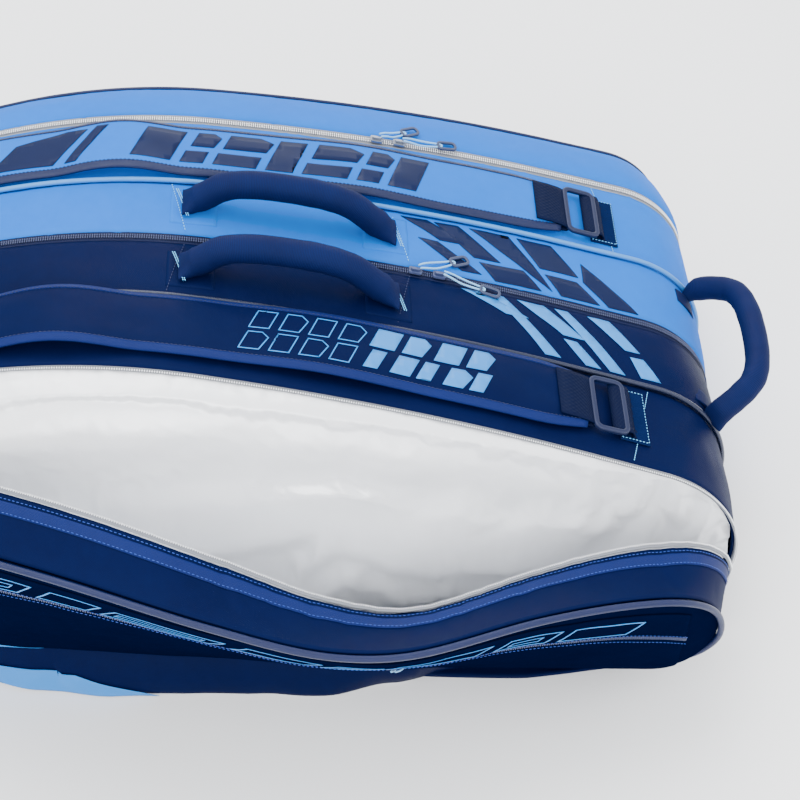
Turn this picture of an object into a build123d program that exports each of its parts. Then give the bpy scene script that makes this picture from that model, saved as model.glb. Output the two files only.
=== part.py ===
"""Racket tournament bag: three zipped compartments side by side, with carry handles and straps.

The bag stands on its base. X runs along its length, Y across its three compartments (the light
rear one is at +Y, the opened front one at -Y) and Z is up. Every band of the bag is drawn between
two upright planes that share one side outline. The bag widens towards +X, so those planes fan out
a little about the Z axis.
"""
from build123d import *
from math import atan2, cos, degrees, hypot, pi, radians, sin, sqrt, tan
import os

os.makedirs("parts", exist_ok=True)

# ---- driving dimensions, in millimetres -------------------------------------------------------
HALF_LENGTH = 385.0        # half the bag's length
BASE = 3.0                 # thickness of the base panel, under the outline
FLARE = 0.13               # how much wider the bag is at the +X end than at its middle
WALL = 4.0                 # padded fabric wall
FABRIC_GAP = 1.5           # air between the bag and what lies on it

# side outline: corner x, corner z, fillet radius
OUTLINE = (
    (-HALF_LENGTH, BASE, 115),
    (-HALF_LENGTH, 294, 110),
    (-165, 338, 500),
    (105, 284, 2000),
    (HALF_LENGTH, 180, 110),
    (HALF_LENGTH, 26, 85),
    (170, BASE, 700),
)
CROWN = 3                  # the long top corner that the zip sliders travel on

# distances of the seams from the middle plane, at mid-length
ZIP_HALF = 5.0             # half the width of a zip chain
DIVIDER = (71.0, 77.0)     # the two padded dividers
SIDE_ZIP = (159.0, 169.0)  # the zip chains of the two outer compartments
EDGE = 228.0               # where an outer gusset meets its outer panel
EDGE_INSET = 18.0          # how far the gusset has drawn in there
PANEL = 8.0                # outer panel's thickness
ZIP_END = 44.0             # height at which the zips end, at both ends of the bag

# opened front flap: x, lean of its panel out of the upright, slope of its lip above the level
FLAP_HINGE = 45.0
FLAP_STATIONS = (
    (-352, 14, 27),
    (-342, 15, 28),
    (-322, 16.5, 29),
    (-285, 19, 30),
    (-165, 26.5, 30),
    (-60, 33, 11),
    (30, 37.3, -12),
    (100, 36, -25),
    (200, 26.3, -18),
    (290, 17, -4),
    (322, 14, -3),
    (342, 11.5, -3),
    (352, 10, -3),
)
POCKET_STATIONS = FLAP_STATIONS[3:10]
FLAP_INSET = 28.0          # how far the panel's edge seam stands inside the outline
FLAP_PANEL = 6.0
LIP_ROOT = 6.5             # where its gusset starts, behind the panel's outer face
LIP = 50.0                 # width of the flap's gusset, from there to its zip
LIP_WALL = 3.0
LIP_ZIP = 5.0

# straps, buckles and handles
STRAP_Y = (79.0, 145.0)
STRAP_X = (-300.0, 245.0)
STRAP_PAD = 7.5
WEBBING_Y = (88.0, 136.0)
WEBBING = 2.0
BUCKLE_X = (249.0, 283.0)
BUCKLE_BAR = 5.0
BUCKLE_LIFT = FABRIC_GAP + WEBBING + 1.8
PATCH_X = (278.0, 299.0)
HANDLE_REACH = 75.0        # half the distance between a carry handle's ends
HANDLE_Y = 40.0
HANDLE_RADIUS = 12.5
HANDLE_STAND = 14.5        # height of a carry handle's ends above the bag
HANDLE_RISE = 34.0
END_HANDLE_Y = 74.0
END_HANDLE_RADIUS = 11.5

# zip pulls
CORD = 1.8                 # diameter of a pull's cord
CORD_STRAND = 1.8          # half the distance between the cord's two strands
TAB = (20.0, 12.0, 2.6)    # length, width and thickness of a pull's tab
TAB_BAR = 3.0              # width of the bars round its window
TAB_LIFT = 0.7             # air under it
SLIDER = (12.0, 8.0, 4.0)
END_SLIDER_Z = 62.0        # height of the two open front sliders, at the ends of the bag
POCKET_SLIDER_X = 76.0


# ---- the outline and the planes it is drawn on ------------------------------------------------
def corners(inset=0.0):
    """The outline's corners and radii, drawn in by an inset."""
    edges = []
    count = len(OUTLINE)
    for i in range(count):
        (x0, z0, _), (x1, z1, _) = OUTLINE[i], OUTLINE[(i + 1) % count]
        run = hypot(x1 - x0, z1 - z0)
        dx, dz = (x1 - x0) / run, (z1 - z0) / run
        edges.append((x0 + dz * inset, z0 - dx * inset, dx, dz))
    found = []
    for i in range(count):
        ax, az, adx, adz = edges[i - 1]
        bx, bz, bdx, bdz = edges[i]
        along = ((bx - ax) * bdz - (bz - az) * bdx) / (adx * bdz - adz * bdx)
        found.append((ax + along * adx, az + along * adz, OUTLINE[i][2] - inset))
    return found


def arc_of(i):
    """Centre and radius of one rounded corner of the outline."""
    (x0, z0, _), (x1, z1, r), (x2, z2, _) = (OUTLINE[(i + k) % len(OUTLINE)] for k in (-1, 0, 1))
    a = Vector(x0 - x1, 0, z0 - z1).normalized()
    b = Vector(x2 - x1, 0, z2 - z1).normalized()
    half = radians(a.get_angle(b)) / 2
    centre = Vector(x1, 0, z1) + (a + b).normalized() * (r / sin(half))
    return centre, r


def top(x, inset=0.0):
    """Height at x of the outline's upper side, drawn in by an inset."""
    heights = []
    for (x0, z0, _), (x1, z1, _) in zip(OUTLINE[1:4], OUTLINE[2:5]):
        rise = (z1 - z0) / (x1 - x0)
        heights.append(z0 + rise * (x - x0) - inset * hypot(1, rise))
    height = min(heights)
    for i in range(1, 5):
        centre, r = arc_of(i)
        (px, pz, _), (cx, cz, _), (nx, nz, _) = OUTLINE[i - 1], OUTLINE[i], OUTLINE[i + 1]
        first = centre.X - (cz - pz) / hypot(cx - px, cz - pz) * (r - inset)
        last = centre.X - (nz - cz) / hypot(nx - cx, nz - cz) * (r - inset)
        if first <= x <= last:
            height = centre.Z + sqrt((r - inset) ** 2 - (x - centre.X) ** 2)
    return height


def bottom(x, inset=0.0):
    """Height at x of the outline's lower side, drawn in by an inset."""
    for i, side in ((0, -1), (5, 1)):
        centre, r = arc_of(i)
        if (x - centre.X) * side > 0:
            return centre.Z - sqrt((r - inset) ** 2 - (x - centre.X) ** 2)
    (x0, z0, _), (x1, z1, _) = OUTLINE[6], OUTLINE[5]
    return BASE + inset + max(0.0, x - x0) * (z1 - z0) / (x1 - x0)


def slope(x):
    """Angle of the outline's upper side at x, in degrees; negative where it falls."""
    return degrees(atan2(top(x + 1) - top(x - 1), 2))


def flared(y, x):
    """Where a seam that is y from the middle at mid-length stands at x."""
    return y * (1 + FLARE * x / HALF_LENGTH)


def seam_plane(y):
    """The upright plane of a seam."""
    lean = y * FLARE / HALF_LENGTH
    return Plane(origin=(0, y, 0), x_dir=(1, lean, 0), z_dir=(lean, -1, 0))


def side_face(y, inset):
    """The bag's side outline on a seam's plane."""
    stretch = sqrt(1 + (y * FLARE / HALF_LENGTH) ** 2)
    points = [(x * stretch, z) for x, z, _ in corners(inset)]
    radii = [r for _, _, r in corners(inset)]
    return seam_plane(y) * make_face(FilletPolyline(*points, radius=radii, close=True))


def slab(y0, y1, inset0=0.0, inset1=None):
    """Everything inside the outline between two seams."""
    inset1 = inset0 if inset1 is None else inset1
    return loft([side_face(y0, inset0), side_face(y1, inset1)], ruled=True)


def band(y0, y1, inset0=0.0, inset1=None, wall=WALL):
    """A wall that runs round the outline between two seams."""
    inset1 = inset0 if inset1 is None else inset1
    return slab(y0, y1, inset0, inset1) - slab(y0, y1, inset0 + wall, inset1 + wall)


def region(x0, x1, z0, z1, reach=400.0):
    """A box across the whole bag, for cutting."""
    middle = ((x0 + x1) / 2, 0, (z0 + z1) / 2)
    return Pos(*middle) * Box(x1 - x0, 2 * reach, z1 - z0)


ABOVE = region(-500, 500, ZIP_END, 600)
BELOW = region(-500, 500, 0, ZIP_END - 1)


def zip_band(y0, y1):
    """A zip chain with its tape, from the height where the zips end, over the top."""
    return band(y0, y1, 0.6, wall=2.8) & ABOVE


# ---- the flap's shape -------------------------------------------------------------------------
def yz_face(x, points):
    """A flat face across the bag at x."""
    return Face(Wire.make_polygon([Vector(x, y, z) for y, z in points], close=True))


def strip(sections):
    """A ruled solid through faces across the bag."""
    return loft(sections, ruled=True)


def flap_frame(x, lean, lip):
    """Foot, edge seam and zip edge of the flap at x, with the directions along and into it."""
    hinge = Vector(x, flared(-EDGE - 2, x), FLAP_HINGE)
    up = Vector(0, -sin(radians(lean)), cos(radians(lean)))
    inward = Vector(0, cos(radians(lean)), sin(radians(lean)))
    over = Vector(0, cos(radians(lip)), sin(radians(lip)))
    under = Vector(0, sin(radians(lip)), -cos(radians(lip)))
    foot = hinge + up * max(0.0, bottom(x, FLAP_INSET) - FLAP_HINGE)
    edge = hinge + up * (top(x, FLAP_INSET) - FLAP_HINGE)
    return foot, edge, up, inward, over, under


def flap_strip(outline, stations=FLAP_STATIONS):
    """A strip of the flap: outline(foot, edge, up, inward, over, under) gives its corners."""
    sections = []
    for x, lean, lip in stations:
        corner_points = outline(*flap_frame(x, lean, lip))
        sections.append(yz_face(x, [(p.Y, p.Z) for p in corner_points]))
    return strip(sections)


def flap_panel_strip(near, far, from_foot, from_edge):
    """A layer of the flap's panel, between two distances behind its outer face."""
    return flap_strip(lambda foot, edge, up, inward, over, under: (
        foot + up * from_foot + inward * near,
        edge - up * from_edge + inward * near,
        edge - up * from_edge + inward * far,
        foot + up * from_foot + inward * far,
    ))


def lip_strip(start, end, wall):
    """A layer of the flap's lip, between two distances from its edge seam."""
    return flap_strip(lambda foot, edge, up, inward, over, under: (
        edge + inward * LIP_ROOT + over * start,
        edge + inward * LIP_ROOT + over * end,
        edge + inward * LIP_ROOT + over * end + under * wall,
        edge + inward * LIP_ROOT + over * start + under * wall,
    ))


parts = {}

# ---- the bag's fixed shell --------------------------------------------------------------------
parts["centre_rear_gusset"] = band(ZIP_HALF, DIVIDER[0]) + (band(-ZIP_HALF, ZIP_HALF) & BELOW)
parts["centre_front_gusset"] = band(-DIVIDER[0], -ZIP_HALF)
parts["centre_zip"] = zip_band(-ZIP_HALF, ZIP_HALF)
parts["rear_divider"] = slab(*DIVIDER)
parts["front_divider"] = slab(-DIVIDER[1], -DIVIDER[0])

side_strip = band(SIDE_ZIP[0], SIDE_ZIP[1]) & BELOW
parts["rear_inner_gusset"] = band(DIVIDER[1], SIDE_ZIP[0]) + side_strip
parts["rear_zip"] = zip_band(*SIDE_ZIP)
parts["rear_outer_gusset"] = band(SIDE_ZIP[1], EDGE, 0, EDGE_INSET)
parts["rear_outer_panel"] = slab(EDGE, EDGE + PANEL, EDGE_INSET, EDGE_INSET + 6)
POCKET_INSET = 62.0
POCKET_DEPTH = 9.0
rear_pocket = slab(EDGE + PANEL, EDGE + PANEL + POCKET_DEPTH, POCKET_INSET, POCKET_INSET + 8)
POCKET_ZIP_Z = (196.0, 206.0)
parts["rear_pocket"] = rear_pocket - region(-500, 500, POCKET_ZIP_Z[0], 600)
parts["rear_pocket_zip"] = rear_pocket & region(-500, 500, *POCKET_ZIP_Z)
parts["rear_pocket_flap"] = rear_pocket - region(-500, 500, 0, POCKET_ZIP_Z[1])

parts["front_inner_gusset"] = band(-SIDE_ZIP[0], -DIVIDER[1])
FRONT_ZIP = 5.0            # the half chain that stays on the bag when the front is open
parts["front_zip_upper"] = zip_band(-SIDE_ZIP[0] - FRONT_ZIP, -SIDE_ZIP[0])
tray = band(-EDGE, -SIDE_ZIP[0], 0, 0) & BELOW
tray_front = slab(-EDGE - FLAP_PANEL, -EDGE, 0) & BELOW
parts["front_base_tray"] = tray + tray_front

# foil lining: sewn to the upper zip, it swells out of the mouth and hangs down to the tray
LINING_STATIONS = (-352, -320, -250, -165, -60, 60, 180, 280, 330, 352)
LINING_WALL = 2.0
LINING_SEAM = 156.0
LINING_REACH = 201.0       # how far it swells from the middle plane, at mid-length
LINING_TAPER = 0.09        # and how much less per millimetre towards +X


def lining_section(x):
    """The foil's section at x, a thin curtain."""
    height = top(x)
    end = 1 - max(0.0, abs(x) - 250) / 130
    reach = LINING_SEAM + (LINING_REACH - LINING_TAPER * x - LINING_SEAM) * end
    front = [(LINING_SEAM, height - 8), (LINING_SEAM + (reach - LINING_SEAM) * 0.6, height - 15),
             (reach, height - 36), (reach - 6 * end, height - 36 - 60 * end),
             (reach - 20 * end, bottom(x) + 14)]
    near = [(flared(-y, x), z) for y, z in front]
    far = [(y + LINING_WALL, z - 1.0) for y, z in reversed(near)]
    return yz_face(x, near + far)


parts["foil_lining"] = strip([lining_section(x) for x in LINING_STATIONS])

# base panel: the tough cloth that the bag stands on
BASE_X = (-268.0, 110.0)
base_corners = []
for x, y in ((BASE_X[0], 1), (BASE_X[1], 1), (BASE_X[1], -1), (BASE_X[0], -1)):
    base_corners.append((x, flared(y * (EDGE - 8), x)))
base_outline = Wire.make_polygon([Vector(x, y, 0) for x, y in base_corners], close=True)
parts["base_panel"] = Solid.extrude(Face(base_outline), Vector(0, 0, BASE))

# ---- the opened front flap --------------------------------------------------------------------
parts["front_outer_panel"] = flap_panel_strip(0, FLAP_PANEL, 0, 0)
parts["front_flap_lining"] = flap_panel_strip(FLAP_PANEL + 0.4, FLAP_PANEL + 1.9, 4, 9)
POCKET_FACE = 9.0
POCKET_BACK = 0.4
POCKET_ZIP = (48.0, 56.0)  # from the edge seam down to the pocket's zip chain


def pocket_strip(depth, below_start, below_end):
    """A layer of the front pocket, between two distances below the edge seam."""
    return flap_strip(lambda foot, edge, up, inward, over, under: (
        edge - up * below_start - inward * POCKET_BACK,
        edge - up * below_start - inward * depth,
        edge - up * below_end - inward * depth,
        edge - up * below_end - inward * POCKET_BACK,
    ), POCKET_STATIONS)


parts["front_pocket_top"] = pocket_strip(POCKET_FACE, 12, POCKET_ZIP[0])
parts["front_pocket_zip"] = pocket_strip(POCKET_FACE - 1, POCKET_ZIP[0] + 0.2, POCKET_ZIP[1])
parts["front_pocket"] = flap_strip(lambda foot, edge, up, inward, over, under: (
    edge - up * (POCKET_ZIP[1] + 0.2) - inward * POCKET_BACK,
    edge - up * (POCKET_ZIP[1] + 0.2) - inward * POCKET_FACE,
    foot + up * 10 - inward * POCKET_FACE,
    foot + up * 10 - inward * POCKET_BACK,
), POCKET_STATIONS)


def lip_end(station):
    """The end of the flap's gusset, closing the flap's side from its foot to its lip."""
    foot, edge, up, inward, over, under = flap_frame(*station)
    root = edge + inward * LIP_ROOT
    corner_points = (foot + inward * (LIP_ROOT + 2.5) + up, root + over * 2.5 + under * LIP_WALL,
                     root + over * LIP + under * LIP_WALL, foot + inward * LIP * 0.7 + up)
    face = yz_face(station[0], [(p.Y, p.Z) for p in corner_points])
    return Solid.extrude(face, Vector(-LIP_WALL if station[0] > 0 else LIP_WALL, 0, 0))


lip_ends = lip_end(FLAP_STATIONS[0]) + lip_end(FLAP_STATIONS[-1])
parts["front_outer_gusset"] = lip_strip(0.5, LIP, LIP_WALL) + lip_ends
parts["front_zip_lower"] = lip_strip(LIP, LIP + LIP_ZIP, 2.4)

PIPING = 2.6
parts["front_edge_piping"] = flap_strip(lambda foot, edge, up, inward, over, under: (
    edge + up * 0.1,
    edge + up * (2 * PIPING) - inward * 0.4,
    edge + up * (2 * PIPING) + inward * (2 * PIPING),
    edge + up * 0.1 + inward * (2 * PIPING),
))

# ---- pipings of the fixed shell ---------------------------------------------------------------
SEAM = sum(DIVIDER) / 2
centre_pipings = []
for side in (1, -1):
    ridge = band(side * SEAM - 1.6, side * SEAM + 1.6, -PIPING, wall=PIPING)
    centre_pipings.append(ridge & region(-500, 500, 10, 600))
parts["centre_pipings"] = Compound(children=centre_pipings)
rear_ridge = band(EDGE, EDGE + 3.2, EDGE_INSET - PIPING, wall=PIPING)
parts["rear_edge_piping"] = rear_ridge & region(-500, 500, 30, 600)


# ---- straps -----------------------------------------------------------------------------------
def across(side, ys):
    """A pair of distances from the middle, in rising order, on one side of the bag."""
    return sorted(side * y for y in ys)


for name, side in (("rear", 1), ("front", -1)):
    lift = -FABRIC_GAP - STRAP_PAD
    pad = band(*across(side, STRAP_Y), lift, wall=STRAP_PAD) & region(*STRAP_X, 150, 600)
    lower = -FABRIC_GAP - WEBBING
    webbing = band(*across(side, WEBBING_Y), lower, wall=WEBBING)
    webbing &= region(STRAP_X[1], PATCH_X[1] - 4, 150, 600)
    parts[name + "_strap"] = pad + webbing

patches = []
anchors = []
for side in (1, -1):
    patch = band(*across(side, (WEBBING_Y[0] - 4, WEBBING_Y[1] + 2)), -1.1, wall=1.0)
    patches.append(patch & region(*PATCH_X, 150, 600))
    anchor = band(*across(side, WEBBING_Y), -4.3, wall=4.0)
    anchors.append(anchor & region(STRAP_X[0] - 32, STRAP_X[0] - 1, 150, 600))
parts["strap_patches"] = Compound(children=patches)
parts["strap_anchors"] = Compound(children=anchors)


def on_top(x, y, above, spin=0.0):
    """A place on the bag's upper side, level with it, with its own X along the bag."""
    tilt = Rot(0, -slope(x), 0)
    return Pos(x, flared(y, x), top(x)) * tilt * Rot(0, 0, spin) * Pos(0, 0, above)


def round_bar_frame(length, width, bar, thickness):
    """A moulded rectangular loop with rounded corners, lying flat."""
    outer = RectangleRounded(length, width, min(length, width) * 0.22)
    inner = RectangleRounded(length - 2 * bar, width - 2 * bar, min(length, width) * 0.12)
    return extrude(outer - inner, thickness)


BUCKLE_MID = sum(BUCKLE_X) / 2
for name, side in (("rear", 1), ("front", -1)):
    frame = round_bar_frame(BUCKLE_X[1] - BUCKLE_X[0], 62, BUCKLE_BAR, 4.5)
    place = on_top(BUCKLE_MID, side * sum(STRAP_Y) / 2, BUCKLE_LIFT)
    parts[name + "_buckle"] = place * frame


# ---- handles ----------------------------------------------------------------------------------
def tube(points, fillet, radius):
    """A round bar along straight runs joined by arcs."""
    path = FilletPolyline(*points, radius=fillet)
    start = Plane(origin=path @ 0, z_dir=path % 0)
    return sweep(start * Circle(radius), path)


HANDLE_PATCH = (34.0, 44.0)
handle_patches = []
for name, side in (("rear", 1), ("front", -1)):
    y = side * HANDLE_Y
    crest = top(0) + HANDLE_RISE
    fall = (top(HANDLE_REACH) - top(-HANDLE_REACH)) / 2 / HANDLE_REACH
    shoulder = HANDLE_REACH * 0.55
    route = [(-HANDLE_REACH, y, top(-HANDLE_REACH) + HANDLE_STAND),
             (-shoulder, y, crest - fall * shoulder),
             (shoulder, y, crest + fall * shoulder),
             (HANDLE_REACH, y, top(HANDLE_REACH) + HANDLE_STAND)]
    parts[name + "_carry_handle"] = tube(route, 46, HANDLE_RADIUS)
    for end in (-1, 1):
        at = end * (HANDLE_REACH + 8)
        place = on_top(at, 0, 0.2)
        patch = Pos(0, y - place.position.Y, 0) * place * Box(*HANDLE_PATCH, 0.8, align=(
            Align.CENTER, Align.CENTER, Align.MIN))
        handle_patches.append(patch)
parts["carry_handle_patches"] = Compound(children=handle_patches)

END_FOOT = (381.0, 171.0)
END_APEX = (416.0, 190.0)
end_route = [(END_FOOT[0], END_HANDLE_Y, END_FOOT[1]),
             (END_APEX[0], END_HANDLE_Y * 0.62, END_APEX[1]),
             (END_APEX[0], -END_HANDLE_Y * 0.62, END_APEX[1]),
             (END_FOOT[0], -END_HANDLE_Y, END_FOOT[1])]
parts["end_handle"] = tube(end_route, 30, END_HANDLE_RADIUS)

# sewn tabs that the end handle hangs from, on the bag's rounded upper end
END_TAB_REACH = 8.0
end_centre, end_radius = arc_of(4)
foot_angle = degrees(atan2(END_FOOT[1] - end_centre.Z, END_FOOT[0] - end_centre.X))
end_tabs = []
for side in (1, -1):
    at = Pos(end_centre.X, side * (END_HANDLE_Y - 12), end_centre.Z) * Rot(0, -foot_angle, 0)
    end_tabs.append(at * Pos(end_radius + 0.3, 0, 0) * Box(1.4, 2 * END_TAB_REACH, 30, align=(
        Align.MIN, Align.CENTER, Align.CENTER)))
parts["end_handle_tabs"] = Compound(children=end_tabs)


# ---- zip sliders and pulls --------------------------------------------------------------------
def slider_body():
    """A zip slider: two plates over the chain with a bridge for the pull."""
    plate = extrude(RectangleRounded(SLIDER[0], SLIDER[1], 2.5), SLIDER[2] * 0.45)
    bridge = Pos(0, 0, SLIDER[2] * 0.45) * extrude(
        RectangleRounded(SLIDER[0] * 0.75, SLIDER[1] * 0.35, 1.2), SLIDER[2] * 0.55)
    return plate + bridge


def pull_route(reach, sway):
    """Corner points of a pull's cord, out from the slider's eye to the tab and back."""
    eye = SLIDER[2] + CORD / 2 + 0.5
    low = TAB_LIFT + TAB[2] / 2
    turn = reach - TAB[0] / 2 + TAB_BAR + 2.2
    strand = CORD_STRAND
    return [(3, strand, eye), (9, strand + sway, eye - 0.3), (reach * 0.42, strand + 2 * sway, low + 0.4),
            (reach * 0.62, strand + sway, low), (turn - 1.0, strand, low), (turn + 0.4, 0, low),
            (turn - 1.0, -strand, low), (reach * 0.62, -strand - sway, low),
            (reach * 0.42, -strand - 1.5 * sway, low + 0.4), (9, -strand - sway, eye - 0.3),
            (3, -strand, eye)]


def largest_radii(points):
    """For each inner corner, 0.45 of its shorter run over the tangent of half its turn."""
    radii = []
    for before, at, after in zip(points, points[1:], points[2:]):
        a, b = Vector(at) - Vector(before), Vector(after) - Vector(at)
        half_turn = radians(max(a.get_angle(b), 0.5)) / 2
        radii.append(0.45 * min(a.length, b.length) / tan(half_turn))
    return radii


def tab_body():
    """A pull's open-frame tab."""
    return Pos(0, 0, TAB_LIFT) * round_bar_frame(TAB[0], TAB[1], TAB_BAR, TAB[2])


def end_place(x_side, lower_corner, z, y, above):
    """A place on one end of the bag, with its own X pointing down along the end."""
    centre, r = arc_of(lower_corner)
    across_x = x_side * sqrt(r * r - (z - centre.Z) ** 2)
    normal = Vector(across_x, 0, z - centre.Z).normalized()
    spot = Vector(centre.X, 0, centre.Z) + normal * (r + above)
    down = Vector(-normal.Z * x_side, 0, normal.X * x_side) * -1
    return Plane(origin=(spot.X, flared(y, spot.X), spot.Z), x_dir=down, z_dir=normal)


# name: place, reach of the pull from its slider, heading of the pull, how far it hangs away from
# the bag, sway of its strands
SLIDER_LIFT = 0.4
HANG = 29.0
PULLS = {
    "rear_zip_left": (on_top(79, 164, SLIDER_LIFT), 37, 29, 0, 0.7),
    "rear_zip_right": (on_top(100, 164, SLIDER_LIFT), 47, 9, 0, 1.0),
    "centre_zip_left": (on_top(108, 0, SLIDER_LIFT), 46, 27, 0, 1.2),
    "centre_zip_right": (on_top(129, 0, SLIDER_LIFT), 47, -12, 0, 0.8),
    "front_zip_left": (end_place(-1, 0, END_SLIDER_Z, -161.5, SLIDER_LIFT), 40, 0, HANG, 0.6),
    "front_zip_right": (end_place(1, 5, END_SLIDER_Z, -161.5, SLIDER_LIFT), 40, 0, HANG, 0.6),
}


def pocket_zip_point(x):
    """A point on the middle of the front pocket's zip, with the directions there."""
    (x0, lean0, lip0), (x1, lean1, lip1) = POCKET_STATIONS[3:5]
    share = (x - x0) / (x1 - x0)
    ends = []
    for station in ((x0, lean0, lip0), (x1, lean1, lip1)):
        foot, edge, up, inward, over, under = flap_frame(*station)
        ends.append(edge - up * sum(POCKET_ZIP) / 2 - inward * (POCKET_FACE - 1))
    along = (ends[1] - ends[0]).normalized()
    lean = radians(lean0 + (lean1 - lean0) * share)
    out = Vector(0, -cos(lean), -sin(lean))
    return ends[0] + (ends[1] - ends[0]) * share, along, out


spot, pocket_along, pocket_out = pocket_zip_point(POCKET_SLIDER_X)
pocket_out = (pocket_out - pocket_along * pocket_out.dot(pocket_along)).normalized()
pocket_place = Plane(origin=spot + pocket_out * (1 + SLIDER_LIFT), x_dir=pocket_along, z_dir=pocket_out)
PULLS["front_pocket_zip"] = (pocket_place, 38, -50, 0, 0.7)

for name, (place, reach, heading, hang, sway) in PULLS.items():
    place = place.location if isinstance(place, Plane) else place
    parts[name + "_slider"] = place * slider_body()
    local = pull_route(reach, sway)
    eye = (local[0][0], 0, local[0][2])
    turned = place * Rot(0, 0, heading) * Pos(*eye) * Rot(0, -hang, 0) * Pos(*[-v for v in eye])
    route = [(turned * Pos(*p)).position for p in local]
    radii = largest_radii(route)
    path = FilletPolyline(*route, radius=radii)
    start = Plane(origin=path @ 0, z_dir=path % 0)
    cord = sweep(start * Circle(CORD / 2), path)
    parts[name + "_cord"] = cord
    parts[name + "_tab"] = turned * Pos(reach, 0, 0) * tab_body()
    expected = pi * CORD ** 2 / 4 * path.length
    eye = (turned * Pos(*eye)).position
    axis = (turned * Pos(0, -1, 0)).position - turned.position
    print(f"{name}: cord {path.length:.1f} mm, volume {cord.volume / expected:.3f} of expected,",
          f"eye {eye.X:.2f} {eye.Y:.2f} {eye.Z:.2f}, axis {axis.X:.4f} {axis.Y:.4f} {axis.Z:.4f},",
          "radii", [round(r, 1) for r in radii],
          "route", [tuple(round(v, 1) for v in p) for p in route])

for i in (0, CROWN, 5):
    centre, r = arc_of(i)
    print(f"corner {i}: centre {centre.X:.2f} {centre.Z:.2f}, radius {r}")
print(f"handle ends {top(HANDLE_REACH) + HANDLE_STAND:.2f} {top(-HANDLE_REACH) + HANDLE_STAND:.2f}")
print(f"strap foot {top(STRAP_X[0]) + FABRIC_GAP:.2f}")
bar = (on_top(BUCKLE_MID, 0, BUCKLE_LIFT + 2.25) * Pos(-(BUCKLE_X[1] - BUCKLE_X[0] - BUCKLE_BAR) / 2, 0, 0)).position
print(f"buckle bar {bar.X:.2f} {bar.Z:.2f} {slope(BUCKLE_MID):.2f}")
print("pocket zip runs along", [round(v, 4) for v in pocket_along])

for name, part in parts.items():
    part.label = name
    export_step(part, f"parts/{name}.step")
    box = part.bounding_box()
    print(name, [round(v, 1) for v in (*box.min, *box.max)], round(part.volume / 1000, 1), part.is_valid)
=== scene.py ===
from bisect import bisect_left
from math import atan2, cos, pi, radians, sin, sqrt

import bmesh
import bpy
from mathutils import Matrix, Vector, noise


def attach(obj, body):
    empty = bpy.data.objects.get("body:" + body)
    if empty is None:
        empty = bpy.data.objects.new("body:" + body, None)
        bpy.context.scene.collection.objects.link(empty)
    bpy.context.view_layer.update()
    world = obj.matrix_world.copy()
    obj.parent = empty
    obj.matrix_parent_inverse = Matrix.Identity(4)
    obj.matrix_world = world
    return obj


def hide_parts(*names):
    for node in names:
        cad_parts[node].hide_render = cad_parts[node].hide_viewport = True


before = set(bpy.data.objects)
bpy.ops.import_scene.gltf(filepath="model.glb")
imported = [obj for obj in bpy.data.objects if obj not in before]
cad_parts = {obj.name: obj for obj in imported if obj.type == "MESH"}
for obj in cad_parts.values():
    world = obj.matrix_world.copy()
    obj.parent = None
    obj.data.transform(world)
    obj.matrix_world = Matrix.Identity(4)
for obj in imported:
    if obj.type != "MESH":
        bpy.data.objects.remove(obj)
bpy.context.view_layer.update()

scene = bpy.context.scene
MM = 0.001

# ---- camera, floor and studio light ------------------------------------------------------------
# A long lens looks down on the opened side from the front. Large soft lamps stand left, right and
# above a pale floor, with a low one behind the camera for the flap's upright face.
EYE = (0.044, -1.232, 1.461)
PITCH, YAW, ROLL = radians(47.6), radians(2.4), radians(0.35)
forward = Vector((sin(YAW) * cos(PITCH), cos(YAW) * cos(PITCH), -sin(PITCH)))
level = Vector((cos(YAW), -sin(YAW), 0))
raised = level.cross(forward)
right = level * cos(ROLL) + raised * sin(ROLL)
upward = raised * cos(ROLL) - level * sin(ROLL)
lens = bpy.data.cameras.new("camera")
lens.lens = 87.8
lens.sensor_width = 36
camera = bpy.data.objects.new("camera", lens)
camera.matrix_world = Matrix.Translation(EYE) @ Matrix((right, upward, -forward)).transposed().to_4x4()
scene.collection.objects.link(camera)
scene.camera = camera

world = bpy.data.worlds.new("studio")
world.use_nodes = True
world.node_tree.nodes["Background"].inputs["Color"].default_value = (0.93, 0.96, 1.0, 1)
world.node_tree.nodes["Background"].inputs["Strength"].default_value = 1.6
scene.world = world


def lamp(name, place, aim, size, power):
    """A square soft lamp at place, facing aim."""
    light = bpy.data.lights.new(name, "AREA")
    light.size = size
    light.energy = power
    obj = bpy.data.objects.new(name, light)
    obj.location = place
    obj.rotation_euler = (Vector(aim) - Vector(place)).to_track_quat("-Z", "Y").to_euler()
    scene.collection.objects.link(obj)


lamp("top_lamp", (-0.3, 0.5, 2.2), (0, 0, 0.2), 1.6, 54)
lamp("left_lamp", (-1.9, -0.7, 1.3), (0, 0, 0.2), 1.2, 28)
lamp("right_lamp", (1.9, -0.2, 1.2), (0, 0, 0.2), 1.2, 21)
lamp("front_lamp", (0.1, -2.2, 1.6), (0, -0.2, 0.15), 1.4, 57)
lamp("back_lamp", (0.3, 2.2, 1.1), (0, 0.2, 0.15), 1.4, 21)


def link(name, verts, faces, uv=None):
    """A new mesh object at the origin, with smooth faces and, if given, a UV per vertex."""
    mesh = bpy.data.meshes.new(name)
    mesh.from_pydata([tuple(v) for v in verts], [], faces)
    if uv:
        layer = mesh.uv_layers.new(name="UVMap")
        for loop in mesh.loops:
            layer.data[loop.index].uv = uv[loop.vertex_index]
    mesh.polygons.foreach_set("use_smooth", [True] * len(mesh.polygons))
    mesh.update()
    obj = bpy.data.objects.new(name, mesh)
    scene.collection.objects.link(obj)
    return obj


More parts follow.
